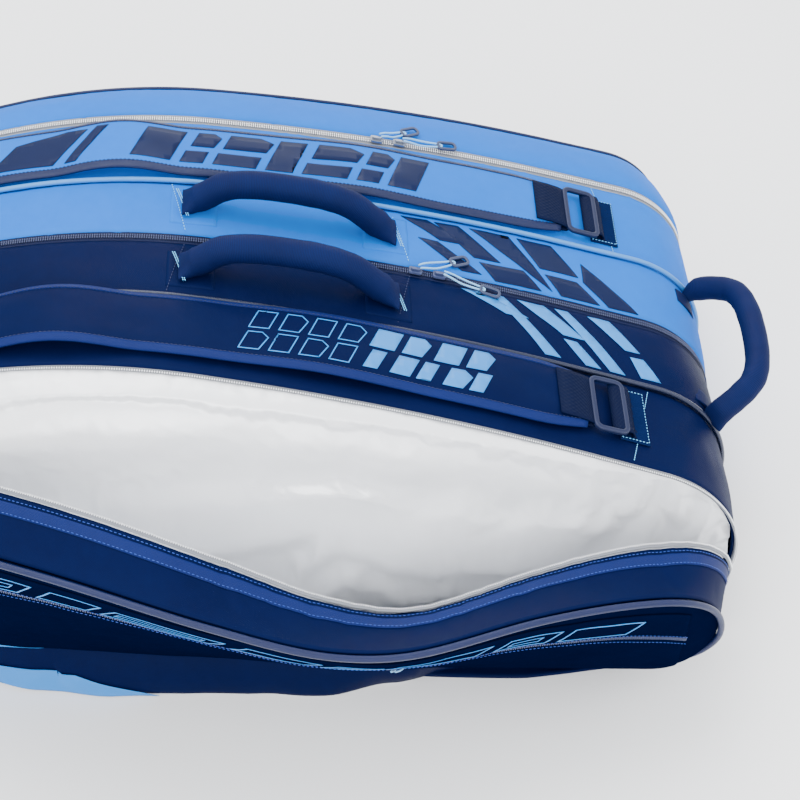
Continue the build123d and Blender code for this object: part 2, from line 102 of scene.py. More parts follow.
class Finish:
    """A node material with a Principled shader, and short ways to add and join nodes."""

    def __init__(self, name, roughness=0.6, **constants):
        self.material = bpy.data.materials.new(name)
        self.material.use_nodes = True
        self.tree = self.material.node_tree
        self.shader = self.tree.nodes["Principled BSDF"]
        self.shader.inputs["Roughness"].default_value = roughness
        for key, value in constants.items():
            self.shader.inputs[key.replace("_", " ")].default_value = value

    def add(self, kind, join=(), **values):
        node = self.tree.nodes.new(kind)
        for key, value in values.items():
            if hasattr(node, key):
                setattr(node, key, value)
            else:
                node.inputs[key.replace("_", " ")].default_value = value
        for socket, source in dict(join).items():
            self.tree.links.new(source, node.inputs[socket])
        return node

    def to(self, socket, source):
        self.tree.links.new(source, self.shader.inputs[socket])


floor = link("floor", [(-4, -4, 0), (4, -4, 0), (4, 4, 0), (-4, 4, 0)], [(0, 1, 2, 3)])
pale = Finish("pale_floor", 0.9)
mottle = pale.add("ShaderNodeTexNoise", [("Vector", pale.add("ShaderNodeTexCoord").outputs["Object"])],
                  Scale=3.0, Detail=2.0)
tone = pale.add("ShaderNodeValToRGB", [("Fac", mottle.outputs["Fac"])])
tone.color_ramp.elements[0].color = (0.95, 0.955, 0.96, 1)
tone.color_ramp.elements[1].color = (0.98, 0.98, 0.985, 1)
pale.to("Base Color", tone.outputs["Color"])
floor.data.materials.append(pale.material)

# ---- zip pulls' cords --------------------------------------------------------------------------
# Seven short loops of limp braided cord, each threaded through its slider's eye and holding a
# moulded tab. They lie on the bag, or hang at its ends, so their places follow its side outline.
HALF_LENGTH, FLARE = 385.0, 0.13
OUTLINE = ((-385, 3, 115), (-385, 294, 110), (-165, 338, 500), (105, 284, 2000), (385, 180, 110),
           (385, 26, 85), (170, 3, 700))
RIM_STEP = 6.0


def trace_rim():
    """Points and outward normals round the side outline, from the middle of its base and up its left end."""
    count = len(OUTLINE)
    ends, points = [], []
    for i in range(count):
        before, at, after = (Vector(OUTLINE[(i + k) % count][:2]) for k in (-1, 0, 1))
        into, out = (at - before).normalized(), (after - at).normalized()
        radius = OUTLINE[i][2]
        turn = into.angle(out)
        first = at - into * radius * sin(turn / 2) / cos(turn / 2)
        normal = Vector((-into.y, into.x))
        centre = first - normal * radius
        ends.append((centre, radius, atan2(normal.y, normal.x), turn))
    for i, (centre, radius, start, turn) in enumerate(ends):
        steps = max(2, round(radius * turn / RIM_STEP))
        for k in range(steps + 1):
            angle = start - turn * k / steps
            normal = Vector((cos(angle), sin(angle)))
            points.append((centre + normal * radius, normal))
        after, reach, begin, _ = ends[(i + 1) % count]
        target = after + Vector((cos(begin), sin(begin))) * reach
        last, normal = points[-1]
        runs = max(1, round((target - last).length / RIM_STEP))
        points += [(last.lerp(target, k / runs), normal) for k in range(1, runs)]
    middle = min(range(len(points)), key=lambda k: (points[k][0] - Vector((0, 3))).length)
    return points[middle:] + points[:middle]


rim = trace_rim()
rim_run = [0.0]
for (a, _), (b, _) in zip(rim, rim[1:] + rim[:1]):
    rim_run.append(rim_run[-1] + (b - a).length)
sides = {}


def height(x, inset=0.0, upper=True):
    """Height at x of the outline's upper or lower side, drawn in by an inset."""
    key = (round(inset, 3), upper)
    if key not in sides:
        side = [p - n * inset for p, n in rim if (n.y > 0.003 if upper else n.y < -0.003)]
        side.sort(key=lambda p: p.x)
        sides[key] = [p.x for p in side], [p.y for p in side]
    xs, zs = sides[key]
    i = min(max(bisect_left(xs, x), 1), len(xs) - 1)
    share = min(max((x - xs[i - 1]) / max(xs[i] - xs[i - 1], 1e-6), 0.0), 1.0)
    return zs[i - 1] + (zs[i] - zs[i - 1]) * share


def flared(y, x):
    """Where a seam that is y from the middle at mid-length stands at x."""
    return y * (1 + FLARE * x / HALF_LENGTH)


def on_top(x, y, above, spin=0.0):
    """A place on the bag's upper side, level with it, with its own X along the bag."""
    tilt = atan2(height(x + 1) - height(x - 1), 2)
    return (Matrix.Translation((x, flared(y, x), height(x))) @ Matrix.Rotation(-tilt, 4, "Y")
            @ Matrix.Rotation(radians(spin), 4, "Z") @ Matrix.Translation((0, 0, above)))


def end_place(side, centre, radius, z, y, above):
    """A place on one rounded end of the bag, with its own X pointing down along the end."""
    normal = Vector((side * sqrt(radius ** 2 - (z - centre[1]) ** 2), 0, z - centre[1])).normalized()
    spot = Vector((centre[0], 0, centre[1])) + normal * (radius + above)
    down = Vector((normal.z * side, 0, -normal.x * side))
    spot.y = flared(y, spot.x)
    return Matrix.Translation(spot) @ Matrix((down, normal.cross(down), normal)).transposed().to_4x4()


FLAP_STATIONS = ((-352, 14, 27), (-342, 15, 28), (-322, 16.5, 29), (-285, 19, 30), (-165, 26.5, 30),
                 (-60, 33, 11), (30, 37.3, -12), (100, 36, -25), (200, 26.3, -18), (290, 17, -4),
                 (322, 14, -3), (342, 11.5, -3), (352, 10, -3))
FLAP_HINGE, FLAP_INSET, HINGE_Y = 45.0, 28.0, -230.0


def flap_angle(x, column):
    """The flap's lean or its lip's slope at x, in radians, on a smooth line through the stations."""
    s = FLAP_STATIONS
    x = min(max(x, s[0][0]), s[-1][0])
    i = min(max(bisect_left([row[0] for row in s], x), 1), len(s) - 1)
    (x0, v0), (x1, v1) = ((s[k][0], s[k][column]) for k in (i - 1, i))
    slopes = []
    for k in (i - 1, i):
        a, b = s[max(k - 1, 0)], s[min(k + 1, len(s) - 1)]
        slopes.append((b[column] - a[column]) / (b[0] - a[0]) * (x1 - x0))
    t = (x - x0) / (x1 - x0)
    value = (v0 * (2 * t ** 3 - 3 * t ** 2 + 1) + v1 * (3 * t ** 2 - 2 * t ** 3)
             + slopes[0] * (t ** 3 - 2 * t ** 2 + t) + slopes[1] * (t ** 3 - t ** 2))
    return radians(value)


def on_flap(x, z, inward=0.0):
    """A point of the opened flap, from its x, height and depth when it is shut."""
    lean = flap_angle(x, 1)
    return Vector((x, flared(HINGE_Y, x), FLAP_HINGE)) + Vector((0, -sin(lean), cos(lean))) * (
        z - FLAP_HINGE) + Vector((0, cos(lean), sin(lean))) * inward


POCKET_ZIP_DROP, POCKET_LIFT = 52.0, 8.0


def pocket_place(x):
    """A place on the front pocket's zip, between the flap's stations there, along it and out of it."""
    ends = []
    for k in (30.0, 100.0):
        ends.append(on_flap(k, height(k, FLAP_INSET) - POCKET_ZIP_DROP, -POCKET_LIFT))
    along = (ends[1] - ends[0]).normalized()
    share = (x - 30.0) / 70.0
    lean = radians(37.3 + (36 - 37.3) * share)
    out = Vector((0, -cos(lean), -sin(lean)))
    out = (out - along * out.dot(along)).normalized()
    spot = ends[0].lerp(ends[1], share) + out * (1 + 0.4)
    return Matrix.Translation(spot) @ Matrix((along, out.cross(along), out)).transposed().to_4x4()


CORD, STRAND, SLIDER_HEIGHT, TAB = 1.8, 1.8, 4.0, (20.0, 12.0, 2.6)
# name: place, reach from the slider, heading, hang away from the bag, sway of the strands, length
PULLS = {
    "rear_zip_left": (on_top(79, 164, 0.4), 37, 29, 0, 0.7, 0.0615),
    "rear_zip_right": (on_top(100, 164, 0.4), 47, 9, 0, 1.0, 0.0813),
    "centre_zip_left": (on_top(108, 0, 0.4), 46, 27, 0, 1.2, 0.0795),
    "centre_zip_right": (on_top(129, 0, 0.4), 47, -12, 0, 0.8, 0.0812),
    "front_zip_left": (end_place(-1, (-270, 118), 115, 62.0, -161.5, 0.4), 40, 0, 29, 0.6, 0.0673),
    "front_zip_right": (end_place(1, (300, 102.39), 85, 62.0, -161.5, 0.4), 40, 0, 29, 0.6, 0.0673),
    "front_pocket_zip": (pocket_place(76.0), 38, -50, 0, 0.7, 0.0634),
}
braid = Finish("braided_cord", 0.55, Sheen_Weight=0.3)
where = braid.add("ShaderNodeTexCoord").outputs["Object"]
plait = braid.add("ShaderNodeTexWave", [("Vector", where)], wave_type="BANDS", bands_direction="DIAGONAL",
                  Scale=520.0, Distortion=2.0, Detail=1.0)
tone = braid.add("ShaderNodeValToRGB", [("Fac", plait.outputs["Fac"])])
tone.color_ramp.elements[0].color = (0.09, 0.30, 0.60, 1)
tone.color_ramp.elements[1].color = (0.24, 0.56, 0.88, 1)
braid.to("Base Color", tone.outputs["Color"])
bump = braid.add("ShaderNodeBump", [("Height", plait.outputs["Fac"])], Strength=0.5, Distance=0.0002)
braid.to("Normal", bump.outputs["Normal"])
pull_frames = {}
for name, (place, reach, heading, hang, sway, length) in PULLS.items():
    eye, low = SLIDER_HEIGHT + CORD / 2 + 0.5, 0.7 + TAB[2] / 2
    turn = reach - TAB[0] / 2 + 3.0 + 2.2
    local = [(3, STRAND, eye), (9, STRAND + sway, eye - 0.3), (reach * 0.42, STRAND + 2 * sway, low + 0.4),
             (reach * 0.62, STRAND + sway, low), (turn - 1.0, STRAND, low), (turn + 0.4, 0, low),
             (turn - 1.0, -STRAND, low), (reach * 0.62, -STRAND - sway, low),
             (reach * 0.42, -STRAND - 1.5 * sway, low + 0.4), (9, -STRAND - sway, eye - 0.3), (3, -STRAND, eye)]
    at_eye = Vector((3, 0, eye))
    turned = (place @ Matrix.Rotation(radians(heading), 4, "Z") @ Matrix.Translation(at_eye)
              @ Matrix.Rotation(radians(-hang), 4, "Y") @ Matrix.Translation(-at_eye))
    pull_frames[name] = turned @ Matrix.Translation((reach, 0, 0))
    curve = bpy.data.curves.new(name + "_loop", "CURVE")
    curve.dimensions = "3D"
    curve.bevel_depth = CORD / 2 * MM
    curve.use_fill_caps = True
    spline = curve.splines.new("NURBS")
    spline.points.add(len(local) - 1)
    for point, p in zip(spline.points, local):
        point.co = (*(turned @ Vector(p) * MM), 1)
    spline.order_u = 3
    spline.use_endpoint_u = True
    cord = bpy.data.objects.new(name + "_loop", curve)
    curve.materials.append(braid.material)
    scene.collection.objects.link(cord)
    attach(cord, name + "_pull")
    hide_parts(name + "_cord")

# ---- cloth finishes ----------------------------------------------------------------------------
# Every woven piece has the same make: a thread relief, two close tones and lightly rubbed ridges.
def woven():
    """A plain weave: from coordinates in metres and a thread pitch, the threads' height and tint."""
    group = bpy.data.node_groups.new("woven", "ShaderNodeTree")
    face = group.interface
    face.new_socket("Vector", in_out="INPUT", socket_type="NodeSocketVector")
    face.new_socket("Threads per metre", in_out="INPUT", socket_type="NodeSocketFloat")
    face.new_socket("Height", in_out="OUTPUT", socket_type="NodeSocketFloat")
    face.new_socket("Tint", in_out="OUTPUT", socket_type="NodeSocketFloat")
    start, end = group.nodes.new("NodeGroupInput"), group.nodes.new("NodeGroupOutput")

    def step(operation, *sources):
        node = group.nodes.new("ShaderNodeMath")
        node.operation = operation
        for socket, source in zip(node.inputs, sources):
            if isinstance(source, (int, float)):
                socket.default_value = source
            else:
                group.links.new(source, socket)
        return node.outputs[0]

    split = group.nodes.new("ShaderNodeSeparateXYZ")
    group.links.new(start.outputs["Vector"], split.inputs[0])
    rate = step("MULTIPLY", start.outputs["Threads per metre"], pi)
    warp = step("SINE", step("MULTIPLY", step("ADD", split.outputs["X"], split.outputs["Z"]), rate))
    weft = step("SINE", step("MULTIPLY", step("ADD", split.outputs["Y"], split.outputs["Z"]), rate))
    crossing = step("MULTIPLY", warp, weft)
    group.links.new(step("MULTIPLY_ADD", crossing, 0.5, 0.5), end.inputs["Height"])
    slub = group.nodes.new("ShaderNodeTexNoise")
    slub.inputs["Scale"].default_value = 90.0
    slub.inputs["Detail"].default_value = 3.0
    group.links.new(start.outputs["Vector"], slub.inputs["Vector"])
    tint = step("MULTIPLY_ADD", slub.outputs["Fac"], 0.6, step("MULTIPLY", crossing, 0.12))
    group.links.new(step("ADD", tint, 0.2), end.inputs["Tint"])
    return group


def rubbed():
    """Handling wear: a mask of soft patches and one of raised edges, from coordinates in metres."""
    group = bpy.data.node_groups.new("rubbed", "ShaderNodeTree")
    face = group.interface
    face.new_socket("Vector", in_out="INPUT", socket_type="NodeSocketVector")
    face.new_socket("Patch size", in_out="INPUT", socket_type="NodeSocketFloat")
    face.new_socket("Patches", in_out="OUTPUT", socket_type="NodeSocketFloat")
    face.new_socket("Edges", in_out="OUTPUT", socket_type="NodeSocketFloat")
    start, end = group.nodes.new("NodeGroupInput"), group.nodes.new("NodeGroupOutput")
    patches = group.nodes.new("ShaderNodeTexNoise")
    patches.inputs["Detail"].default_value = 4.0
    patches.inputs["Roughness"].default_value = 0.6
    group.links.new(start.outputs["Vector"], patches.inputs["Vector"])
    rate = group.nodes.new("ShaderNodeMath")
    rate.operation = "DIVIDE"
    rate.inputs[0].default_value = 1.0
    group.links.new(start.outputs["Patch size"], rate.inputs[1])
    group.links.new(rate.outputs[0], patches.inputs["Scale"])
    group.links.new(patches.outputs["Fac"], end.inputs["Patches"])
    raised = group.nodes.new("ShaderNodeNewGeometry")
    sharp = group.nodes.new("ShaderNodeMapRange")
    sharp.inputs["From Min"].default_value = 0.5
    sharp.inputs["From Max"].default_value = 0.62
    group.links.new(raised.outputs["Pointiness"], sharp.inputs["Value"])
    group.links.new(sharp.outputs["Result"], end.inputs["Edges"])
    return group


weave_group, wear_group = woven(), rubbed()


def cloth(name, dark, light, threads=1100.0, relief=0.35, roughness=0.55, by_uv=True, worn=None,
          **constants):
    """A woven synthetic: two close tones in slow patches, a thread relief and slightly rubbed ridges."""
    made = Finish(name, roughness, **constants)
    coordinates = made.add("ShaderNodeTexCoord")
    where = coordinates.outputs["UV" if by_uv else "Object"]
    weave = made.add("ShaderNodeGroup", node_tree=weave_group)
    made.tree.links.new(where, weave.inputs["Vector"])
    weave.inputs["Threads per metre"].default_value = threads
    wear = made.add("ShaderNodeGroup", node_tree=wear_group)
    made.tree.links.new(coordinates.outputs["Object"], wear.inputs["Vector"])
    wear.inputs["Patch size"].default_value = 0.06
    blend = made.add("ShaderNodeMix", data_type="RGBA")
    blend.inputs["A"].default_value = (*dark, 1)
    blend.inputs["B"].default_value = (*light, 1)
    mixed = made.add("ShaderNodeMath", [(0, weave.outputs["Tint"]), (1, wear.outputs["Patches"])])
    half = made.add("ShaderNodeMath", [(0, mixed.outputs[0])], operation="MULTIPLY")
    half.inputs[1].default_value = 0.55
    made.tree.links.new(half.outputs[0], blend.inputs["Factor"])
    ridge = made.add("ShaderNodeMix", data_type="RGBA")
    ridge.inputs["B"].default_value = (*(worn or [min(1.0, 1.6 * c + 0.002) for c in light]), 1)
    thin = made.add("ShaderNodeMath", [(0, wear.outputs["Edges"])], operation="MULTIPLY")
    thin.inputs[1].default_value = 0.10
    made.tree.links.new(thin.outputs[0], ridge.inputs["Factor"])
    made.tree.links.new(blend.outputs["Result"], ridge.inputs["A"])
    made.to("Base Color", ridge.outputs["Result"])
    gloss = made.add("ShaderNodeMapRange", [("Value", wear.outputs["Patches"])])
    gloss.inputs["To Min"].default_value = roughness - 0.08
    gloss.inputs["To Max"].default_value = roughness + 0.10
    made.to("Roughness", gloss.outputs["Result"])
    bump = made.add("ShaderNodeBump", [("Height", weave.outputs["Height"])], Strength=relief, Distance=0.0003)
    made.to("Normal", bump.outputs["Normal"])
    return made.material

# ---- gussets -----------------------------------------------------------------------------------
# Long strips of padded polyester that run all the way round between the seams: light blue from the
# rear to the middle zip, navy from there to the front. They swell a little and pucker at the zips.
LIGHT_BLUE = cloth("light_blue_polyester", (0.0, 0.094, 0.45), (0.003, 0.14, 0.58), roughness=0.6,
                   worn=(0.03, 0.26, 0.66), Specular_IOR_Level=0.04)
NAVY = cloth("navy_polyester", (0.00023, 0.0017, 0.02), (0.00091, 0.0049, 0.04), roughness=0.5,
             worn=(0.003, 0.013, 0.075), Specular_IOR_Level=0.04)


def surface(name, rows, uv, material, out, closed=False, thickness=0.0):
    """A smooth sheet through rows of points in millimetres, its faces turned to the side that out says."""
    wide = len(rows[0])
    verts = [p * MM for row in rows for p in row]
    flat = [(u * MM, v * MM) for row in uv for u, v in row]
    faces = []
    for i in range(len(rows) if closed else len(rows) - 1):
        a, b = i * wide, (i + 1) % len(rows) * wide
        faces += [(a + k, a + k + 1, b + k + 1, b + k) for k in range(wide - 1)]
    i, k = (len(rows) - 1) // 2, (wide - 1) // 2
    p, q, r = rows[i][k], rows[i][k + 1], rows[i + 1][k]
    if (q - p).cross(r - p).dot(out(p)) < 0:
        faces = [tuple(reversed(f)) for f in faces]
    obj = link(name, verts, faces, flat)
    obj.data.materials.append(material)
    if thickness:
        wall = obj.modifiers.new("wall", "SOLIDIFY")
        wall.thickness = thickness * MM
        wall.offset = -1
    return obj


def welded(obj, fill=False, outward=False):
    """obj with doubled points joined and, if asked, its open ends filled and its faces turned outwards."""
    bm = bmesh.new()
    bm.from_mesh(obj.data)
    bmesh.ops.remove_doubles(bm, verts=bm.verts, dist=1e-6)
    if fill:
        bmesh.ops.holes_fill(bm, edges=[e for e in bm.edges if e.is_boundary], sides=0)
    if outward:
        bmesh.ops.recalc_face_normals(bm, faces=bm.faces)
    bm.to_mesh(obj.data)
    bm.free()
    return obj


def finished(obj, body, slot, *nodes):
    """obj rides on a body and stands for CAD nodes; its slot is not used."""
    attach(obj, body)
    if nodes:
        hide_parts(*nodes)
    return obj


def ripple(x, y, z, seed):
    """Soft folds in the cloth, in millimetres."""
    broad = noise.noise(Vector((x / 70, y / 34, z / 70 + seed)))
    fine = noise.noise(Vector((x / 19, y / 30, z / 19 + seed * 2)))
    return 1.7 * broad + 0.6 * fine


def swell(x, z, y, seams, rise, seed):
    """How far a gusset stands out of the outline at a point, in millimetres."""
    v = min(max((y - seams[0]) / (seams[1] - seams[0]), 0.0), 1.0)
    arch = (4 * v * (1 - v)) ** 0.6
    pucker = abs(noise.noise(Vector((x / 9, z / 9, seed + 5)))) * (1 - arch) * 0.9
    return rise * arch - 0.9 * (1 - arch) + pucker + ripple(x, y, z, seed) * arch


# how far the dividers, the outer panels' seams and the rear zip stand from the middle, then for
# each gusset its seams, its inset at each, its rise and its seed
DIVIDER_Y, OUTER_Y, REAR_ZIP_Y = 74.0, 230.0, 164.0
GUSSETS = {
    "centre_rear": ((5, DIVIDER_Y), (0.8, 0.8), 2.2, 1),
    "centre_front": ((-DIVIDER_Y, -5), (0.8, 0.8), 2.2, 2),
    "rear_inner": ((DIVIDER_Y, 159), (0.8, 0.8), 1.2, 3),
    "front_inner": ((-160.5, -DIVIDER_Y), (0.8, 0.8), 1.2, 4),
    "rear_outer": ((169, OUTER_Y), (0.8, 18.0), 5.0, 5),
}


def on_gusset(which, x, z, normal, y, lift=0.0):
    """The point of a gusset over a point of the outline, with its swell."""
    seams, insets, rise, seed = GUSSETS[which]
    v = (y - seams[0]) / (seams[1] - seams[0])
    inset = insets[0] + (insets[1] - insets[0]) * v - swell(x, z, y, seams, rise, seed) - lift
    return Vector((x - normal.x * inset, flared(y, x), z - normal.y * inset))


def around(which, spacing=5.0, y_range=None):
    """Rows of points and their UV for a gusset, all the way round."""
    low, high = y_range or GUSSETS[which][0]
    wide = max(2, round((high - low) / spacing))
    rows, uv = [], []
    for (p, normal), run in zip(rim, rim_run):
        ys = [low + (high - low) * k / wide for k in range(wide + 1)]
        rows.append([on_gusset(which, p.x, p.y, normal, y) for y in ys])
        uv.append([(run, y) for y in ys])
    return rows, uv


def from_middle(p):
    """Outwards from the bag's long middle line."""
    return Vector((p.x - min(max(p.x, -250), 250), 0, p.z - 130))


for which, material, slot, nodes in (
        ("centre_rear", LIGHT_BLUE, "light_blue_fabric", ("centre_rear_gusset",)),
        ("centre_front", NAVY, "navy_fabric", ("centre_front_gusset",)),
        ("rear_inner", LIGHT_BLUE, "light_blue_fabric", ("rear_inner_gusset",)),
        ("front_inner", NAVY, "navy_fabric", ("front_inner_gusset",)),
        ("rear_outer", LIGHT_BLUE, "light_blue_fabric", ("rear_outer_gusset",))):
    sheet = surface(which + "_gusset_cloth", *around(which), material, from_middle, closed=True, thickness=3.0)
    finished(sheet, "bag", slot, *nodes)

# ---- rows of stitches and zip teeth ------------------------------------------------------------
# Everything that repeats along a seam or a zip: thread stitches, bar tacks and moulded coil teeth.
# One tree lays small rounded links along a line, turned to the cloth's face there.
def link_tree():
    """Rounded links of a given size at a given pitch along a mesh line with a face direction."""
    tree = bpy.data.node_groups.new("links_along_line", "GeometryNodeTree")
    face = tree.interface
    for title, kind in (("Geometry", "NodeSocketGeometry"), ("Pitch", "NodeSocketFloat"),
                        ("Size", "NodeSocketVector"), ("Shift", "NodeSocketVector"),
                        ("Material", "NodeSocketMaterial")):
        face.new_socket(title, in_out="INPUT", socket_type=kind)
    face.new_socket("Geometry", in_out="OUTPUT", socket_type="NodeSocketGeometry")
    new, join = tree.nodes.new, tree.links.new
    start, end = new("NodeGroupInput"), new("NodeGroupOutput")
    curve, spaced = new("GeometryNodeMeshToCurve"), new("GeometryNodeResampleCurve")
    spaced.mode = "LENGTH"
    join(start.outputs["Geometry"], curve.inputs[0])
    join(curve.outputs[0], spaced.inputs["Curve"])
    join(start.outputs["Pitch"], spaced.inputs["Length"])
    tangent, facing = new("GeometryNodeInputTangent"), new("GeometryNodeInputNamedAttribute")
    facing.data_type = "FLOAT_VECTOR"
    facing.inputs["Name"].default_value = "facing"
    along, turned = new("FunctionNodeAlignRotationToVector"), new("FunctionNodeAlignRotationToVector")
    along.axis, turned.axis, turned.pivot_axis = "X", "Z", "X"
    join(tangent.outputs[0], along.inputs["Vector"])
    join(along.outputs[0], turned.inputs["Rotation"])
    join(facing.outputs["Attribute"], turned.inputs["Vector"])
    bead, placed = new("GeometryNodeMeshUVSphere"), new("GeometryNodeInstanceOnPoints")
    bead.inputs["Segments"].default_value = 6
    bead.inputs["Rings"].default_value = 4
    bead.inputs["Radius"].default_value = 0.5
    smooth, moved = new("GeometryNodeSetShadeSmooth"), new("GeometryNodeTranslateInstances")
    join(bead.outputs["Mesh"], smooth.inputs[0])
    join(spaced.outputs[0], placed.inputs["Points"])
    join(smooth.outputs[0], placed.inputs["Instance"])
    join(turned.outputs[0], placed.inputs["Rotation"])
    join(start.outputs["Size"], placed.inputs["Scale"])
    join(placed.outputs[0], moved.inputs["Instances"])
    join(start.outputs["Shift"], moved.inputs["Translation"])
    real, painted = new("GeometryNodeRealizeInstances"), new("GeometryNodeSetMaterial")
    join(moved.outputs[0], real.inputs[0])
    join(real.outputs[0], painted.inputs["Geometry"])
    join(start.outputs["Material"], painted.inputs["Material"])
    join(painted.outputs[0], end.inputs[0])
    return tree


LINKS = link_tree()


def links(name, lines, pitch, size, material, shift=(0, 0, 0)):
    """A plain mesh of links laid along lines of (point, facing) pairs, all in millimetres."""
    verts, edges, facing = [], [], []
    for line in lines:
        first = len(verts)
        verts += [p * MM for p, _ in line]
        facing += [n for _, n in line]
        edges += [(k, k + 1) for k in range(first, len(verts) - 1)]
    mesh = bpy.data.meshes.new(name + "_line")
    mesh.from_pydata(verts, edges, [])
    layer = mesh.attributes.new("facing", "FLOAT_VECTOR", "POINT")
    for item, n in zip(layer.data, facing):
        item.vector = n
    holder = bpy.data.objects.new(name + "_line", mesh)
    scene.collection.objects.link(holder)
    modifier = holder.modifiers.new("links", "NODES")
    modifier.node_group = LINKS
    for item in LINKS.interface.items_tree:
        value = {"Pitch": pitch * MM, "Size": [s * MM for s in size], "Shift": [s * MM for s in shift],
                 "Material": material}.get(item.name)
        if item.in_out == "INPUT" and value is not None:
            modifier[item.identifier] = value
    made = bpy.data.meshes.new_from_object(holder.evaluated_get(bpy.context.evaluated_depsgraph_get()))
    made.name = name
    obj = bpy.data.objects.new(name, made)
    scene.collection.objects.link(obj)
    bpy.data.objects.remove(holder)
    return obj


SEAM_PITCH, SEAM_STITCH = 3.6, (2.6, 0.7, 0.6)
thread = {}
for shade, dark, light in (("navy", (0.001, 0.005, 0.035), (0.004, 0.013, 0.07)),
                           ("light_blue", (0.07, 0.34, 0.72), (0.16, 0.50, 0.86)),
                           ("royal", (0.006, 0.04, 0.28), (0.012, 0.07, 0.40))):
    thread[shade] = cloth(shade + "_thread", dark, light, threads=2400, relief=0.5, roughness=0.5, by_uv=False)

# ---- zips --------------------------------------------------------------------------------------
# Coil zips on woven tape: silver on the rear compartment and the open front one, navy in the
# middle. Each closed chain is two rows of teeth, and an open one is a single row on its own tape.
SILVER_TAPE = cloth("silver_zip_tape", (0.099, 0.11, 0.13), (0.2, 0.21, 0.24), threads=900, relief=0.8,
                    roughness=0.42, worn=(0.8, 0.82, 0.85), Metallic=0.25)
NAVY_TAPE = cloth("navy_zip_tape", (0.0003, 0.0019, 0.019), (0.00091, 0.0046, 0.034), threads=900, relief=0.8,
                  roughness=0.5, Specular_IOR_Level=0.15)


def moulded(name, dark, light, roughness, grain=900.0, **constants):
    """Moulded or cast stuff: a fine grain in colour, gloss and relief, and lighter rubbed edges."""
    made = Finish(name, roughness, **constants)
    where = made.add("ShaderNodeTexCoord").outputs["Object"]
    speck = made.add("ShaderNodeTexNoise", [("Vector", where)], Scale=grain, Detail=3.0)
    wear = made.add("ShaderNodeGroup", [("Vector", where)], node_tree=wear_group)
    wear.inputs["Patch size"].default_value = 0.02
    tone = made.add("ShaderNodeMix", [("Factor", speck.outputs["Fac"])], data_type="RGBA")
    tone.inputs["A"].default_value = (*dark, 1)
    tone.inputs["B"].default_value = (*light, 1)
    edge = made.add("ShaderNodeMix", [("A", tone.outputs["Result"])], data_type="RGBA")
    edge.inputs["B"].default_value = (*[min(1.0, c * 1.8 + 0.05) for c in light], 1)
    thin = made.add("ShaderNodeMath", [(0, wear.outputs["Edges"])], operation="MULTIPLY")
    thin.inputs[1].default_value = 0.5
    made.tree.links.new(thin.outputs[0], edge.inputs["Factor"])
    made.to("Base Color", edge.outputs["Result"])
    gloss = made.add("ShaderNodeMapRange", [("Value", wear.outputs["Patches"])])
    gloss.inputs["To Min"].default_value = roughness - 0.06
    gloss.inputs["To Max"].default_value = roughness + 0.10
    made.to("Roughness", gloss.outputs["Result"])
    bump = made.add("ShaderNodeBump", [("Height", speck.outputs["Fac"])], Strength=0.25, Distance=0.0002)
    made.to("Normal", bump.outputs["Normal"])
    return made.material


SILVER_TEETH = moulded("silver_coil", (0.62, 0.64, 0.67), (0.8, 0.82, 0.84), 0.30, Metallic=0.85)
NAVY_TEETH = moulded("navy_coil", (0.0023, 0.0061, 0.034), (0.0061, 0.015, 0.065), 0.35)
ZIP_END = 44.0
TEETH_PITCH, TOOTH, OPEN_TOOTH = 2.0, (1.3, 2.9, 1.5), (1.3, 2.3, 1.5)


def over_the_top(low_y, high_y, inset, steps, lift=lambda v: 0.0, least=ZIP_END):
    """Rows of points, their UV and normals for a band above the height where the zips end."""
    rows, uv, normals = [], [], []
    for (p, n), run in zip(rim, rim_run):
        if p.y - n.y * inset < least:
            continue
        row = []
        for k in range(steps + 1):
            y = low_y + (high_y - low_y) * k / steps
            q = p - n * (inset - lift(k / steps))
            row.append(Vector((q.x, flared(y, q.x), q.y)))
        rows.append(row)
        uv.append([(run, low_y + (high_y - low_y) * k / steps) for k in range(steps + 1)])
        normals.append(Vector((n.x, 0, n.y)))
    return rows, uv, normals


def chain_line(y, lift):
    """A line for a zip's teeth, with the direction that the teeth face."""
    rows, _, normals = over_the_top(y, y + 1, -lift, 1)
    return [(row[0], n) for row, n in zip(rows, normals)]


for name, middle, tape, teeth, slot in (("rear_zip", REAR_ZIP_Y, SILVER_TAPE, SILVER_TEETH, "silver_zip"),
                                        ("centre_zip", 0, NAVY_TAPE, NAVY_TEETH, "navy_zip")):
    rows, uv, _ = over_the_top(middle - 5.5, middle + 5.5, 1.2, 8, lambda v: -0.8 * (1 - abs(2 * v - 1)))
    finished(surface(name + "_tape", rows, uv, tape, from_middle, thickness=1.2), "bag", slot, name)
    for side in (-1, 1):
        row = links(f"{name}_teeth_{'front' if side < 0 else 'rear'}", [chain_line(middle + side * 1.3, -0.6)],
                    TEETH_PITCH, TOOTH, teeth)
        finished(row, "bag", slot)

rows, uv, _ = over_the_top(-164.0, -160.2, 1.0, 5)
upper_tape = surface("front_zip_upper_tape", rows, uv, SILVER_TAPE, from_middle, thickness=1.2)
finished(upper_tape, "bag", "silver_zip", "front_zip_upper")
upper_teeth = links("front_zip_upper_teeth", [chain_line(-164.2, 0.2)], TEETH_PITCH, OPEN_TOOTH, SILVER_TEETH)
finished(upper_teeth, "bag", "silver_zip")

# ---- dividers, rear panel and its pocket -------------------------------------------------------
# Padded walls that stand upright between the seams: two dividers inside, and the rear outer panel
# with a shallow zipped pocket. Foam behind the cloth makes them crown between their seams.
def columns(inset):
    """The x of every point along the outline's upper side, drawn in by an inset."""
    height(0, inset)
    xs = sides[round(inset, 3), True][0]
    kept = [xs[0]]
    for x in xs[1:]:
        if x - kept[-1] > 1.5:
            kept.append(x)
    return kept


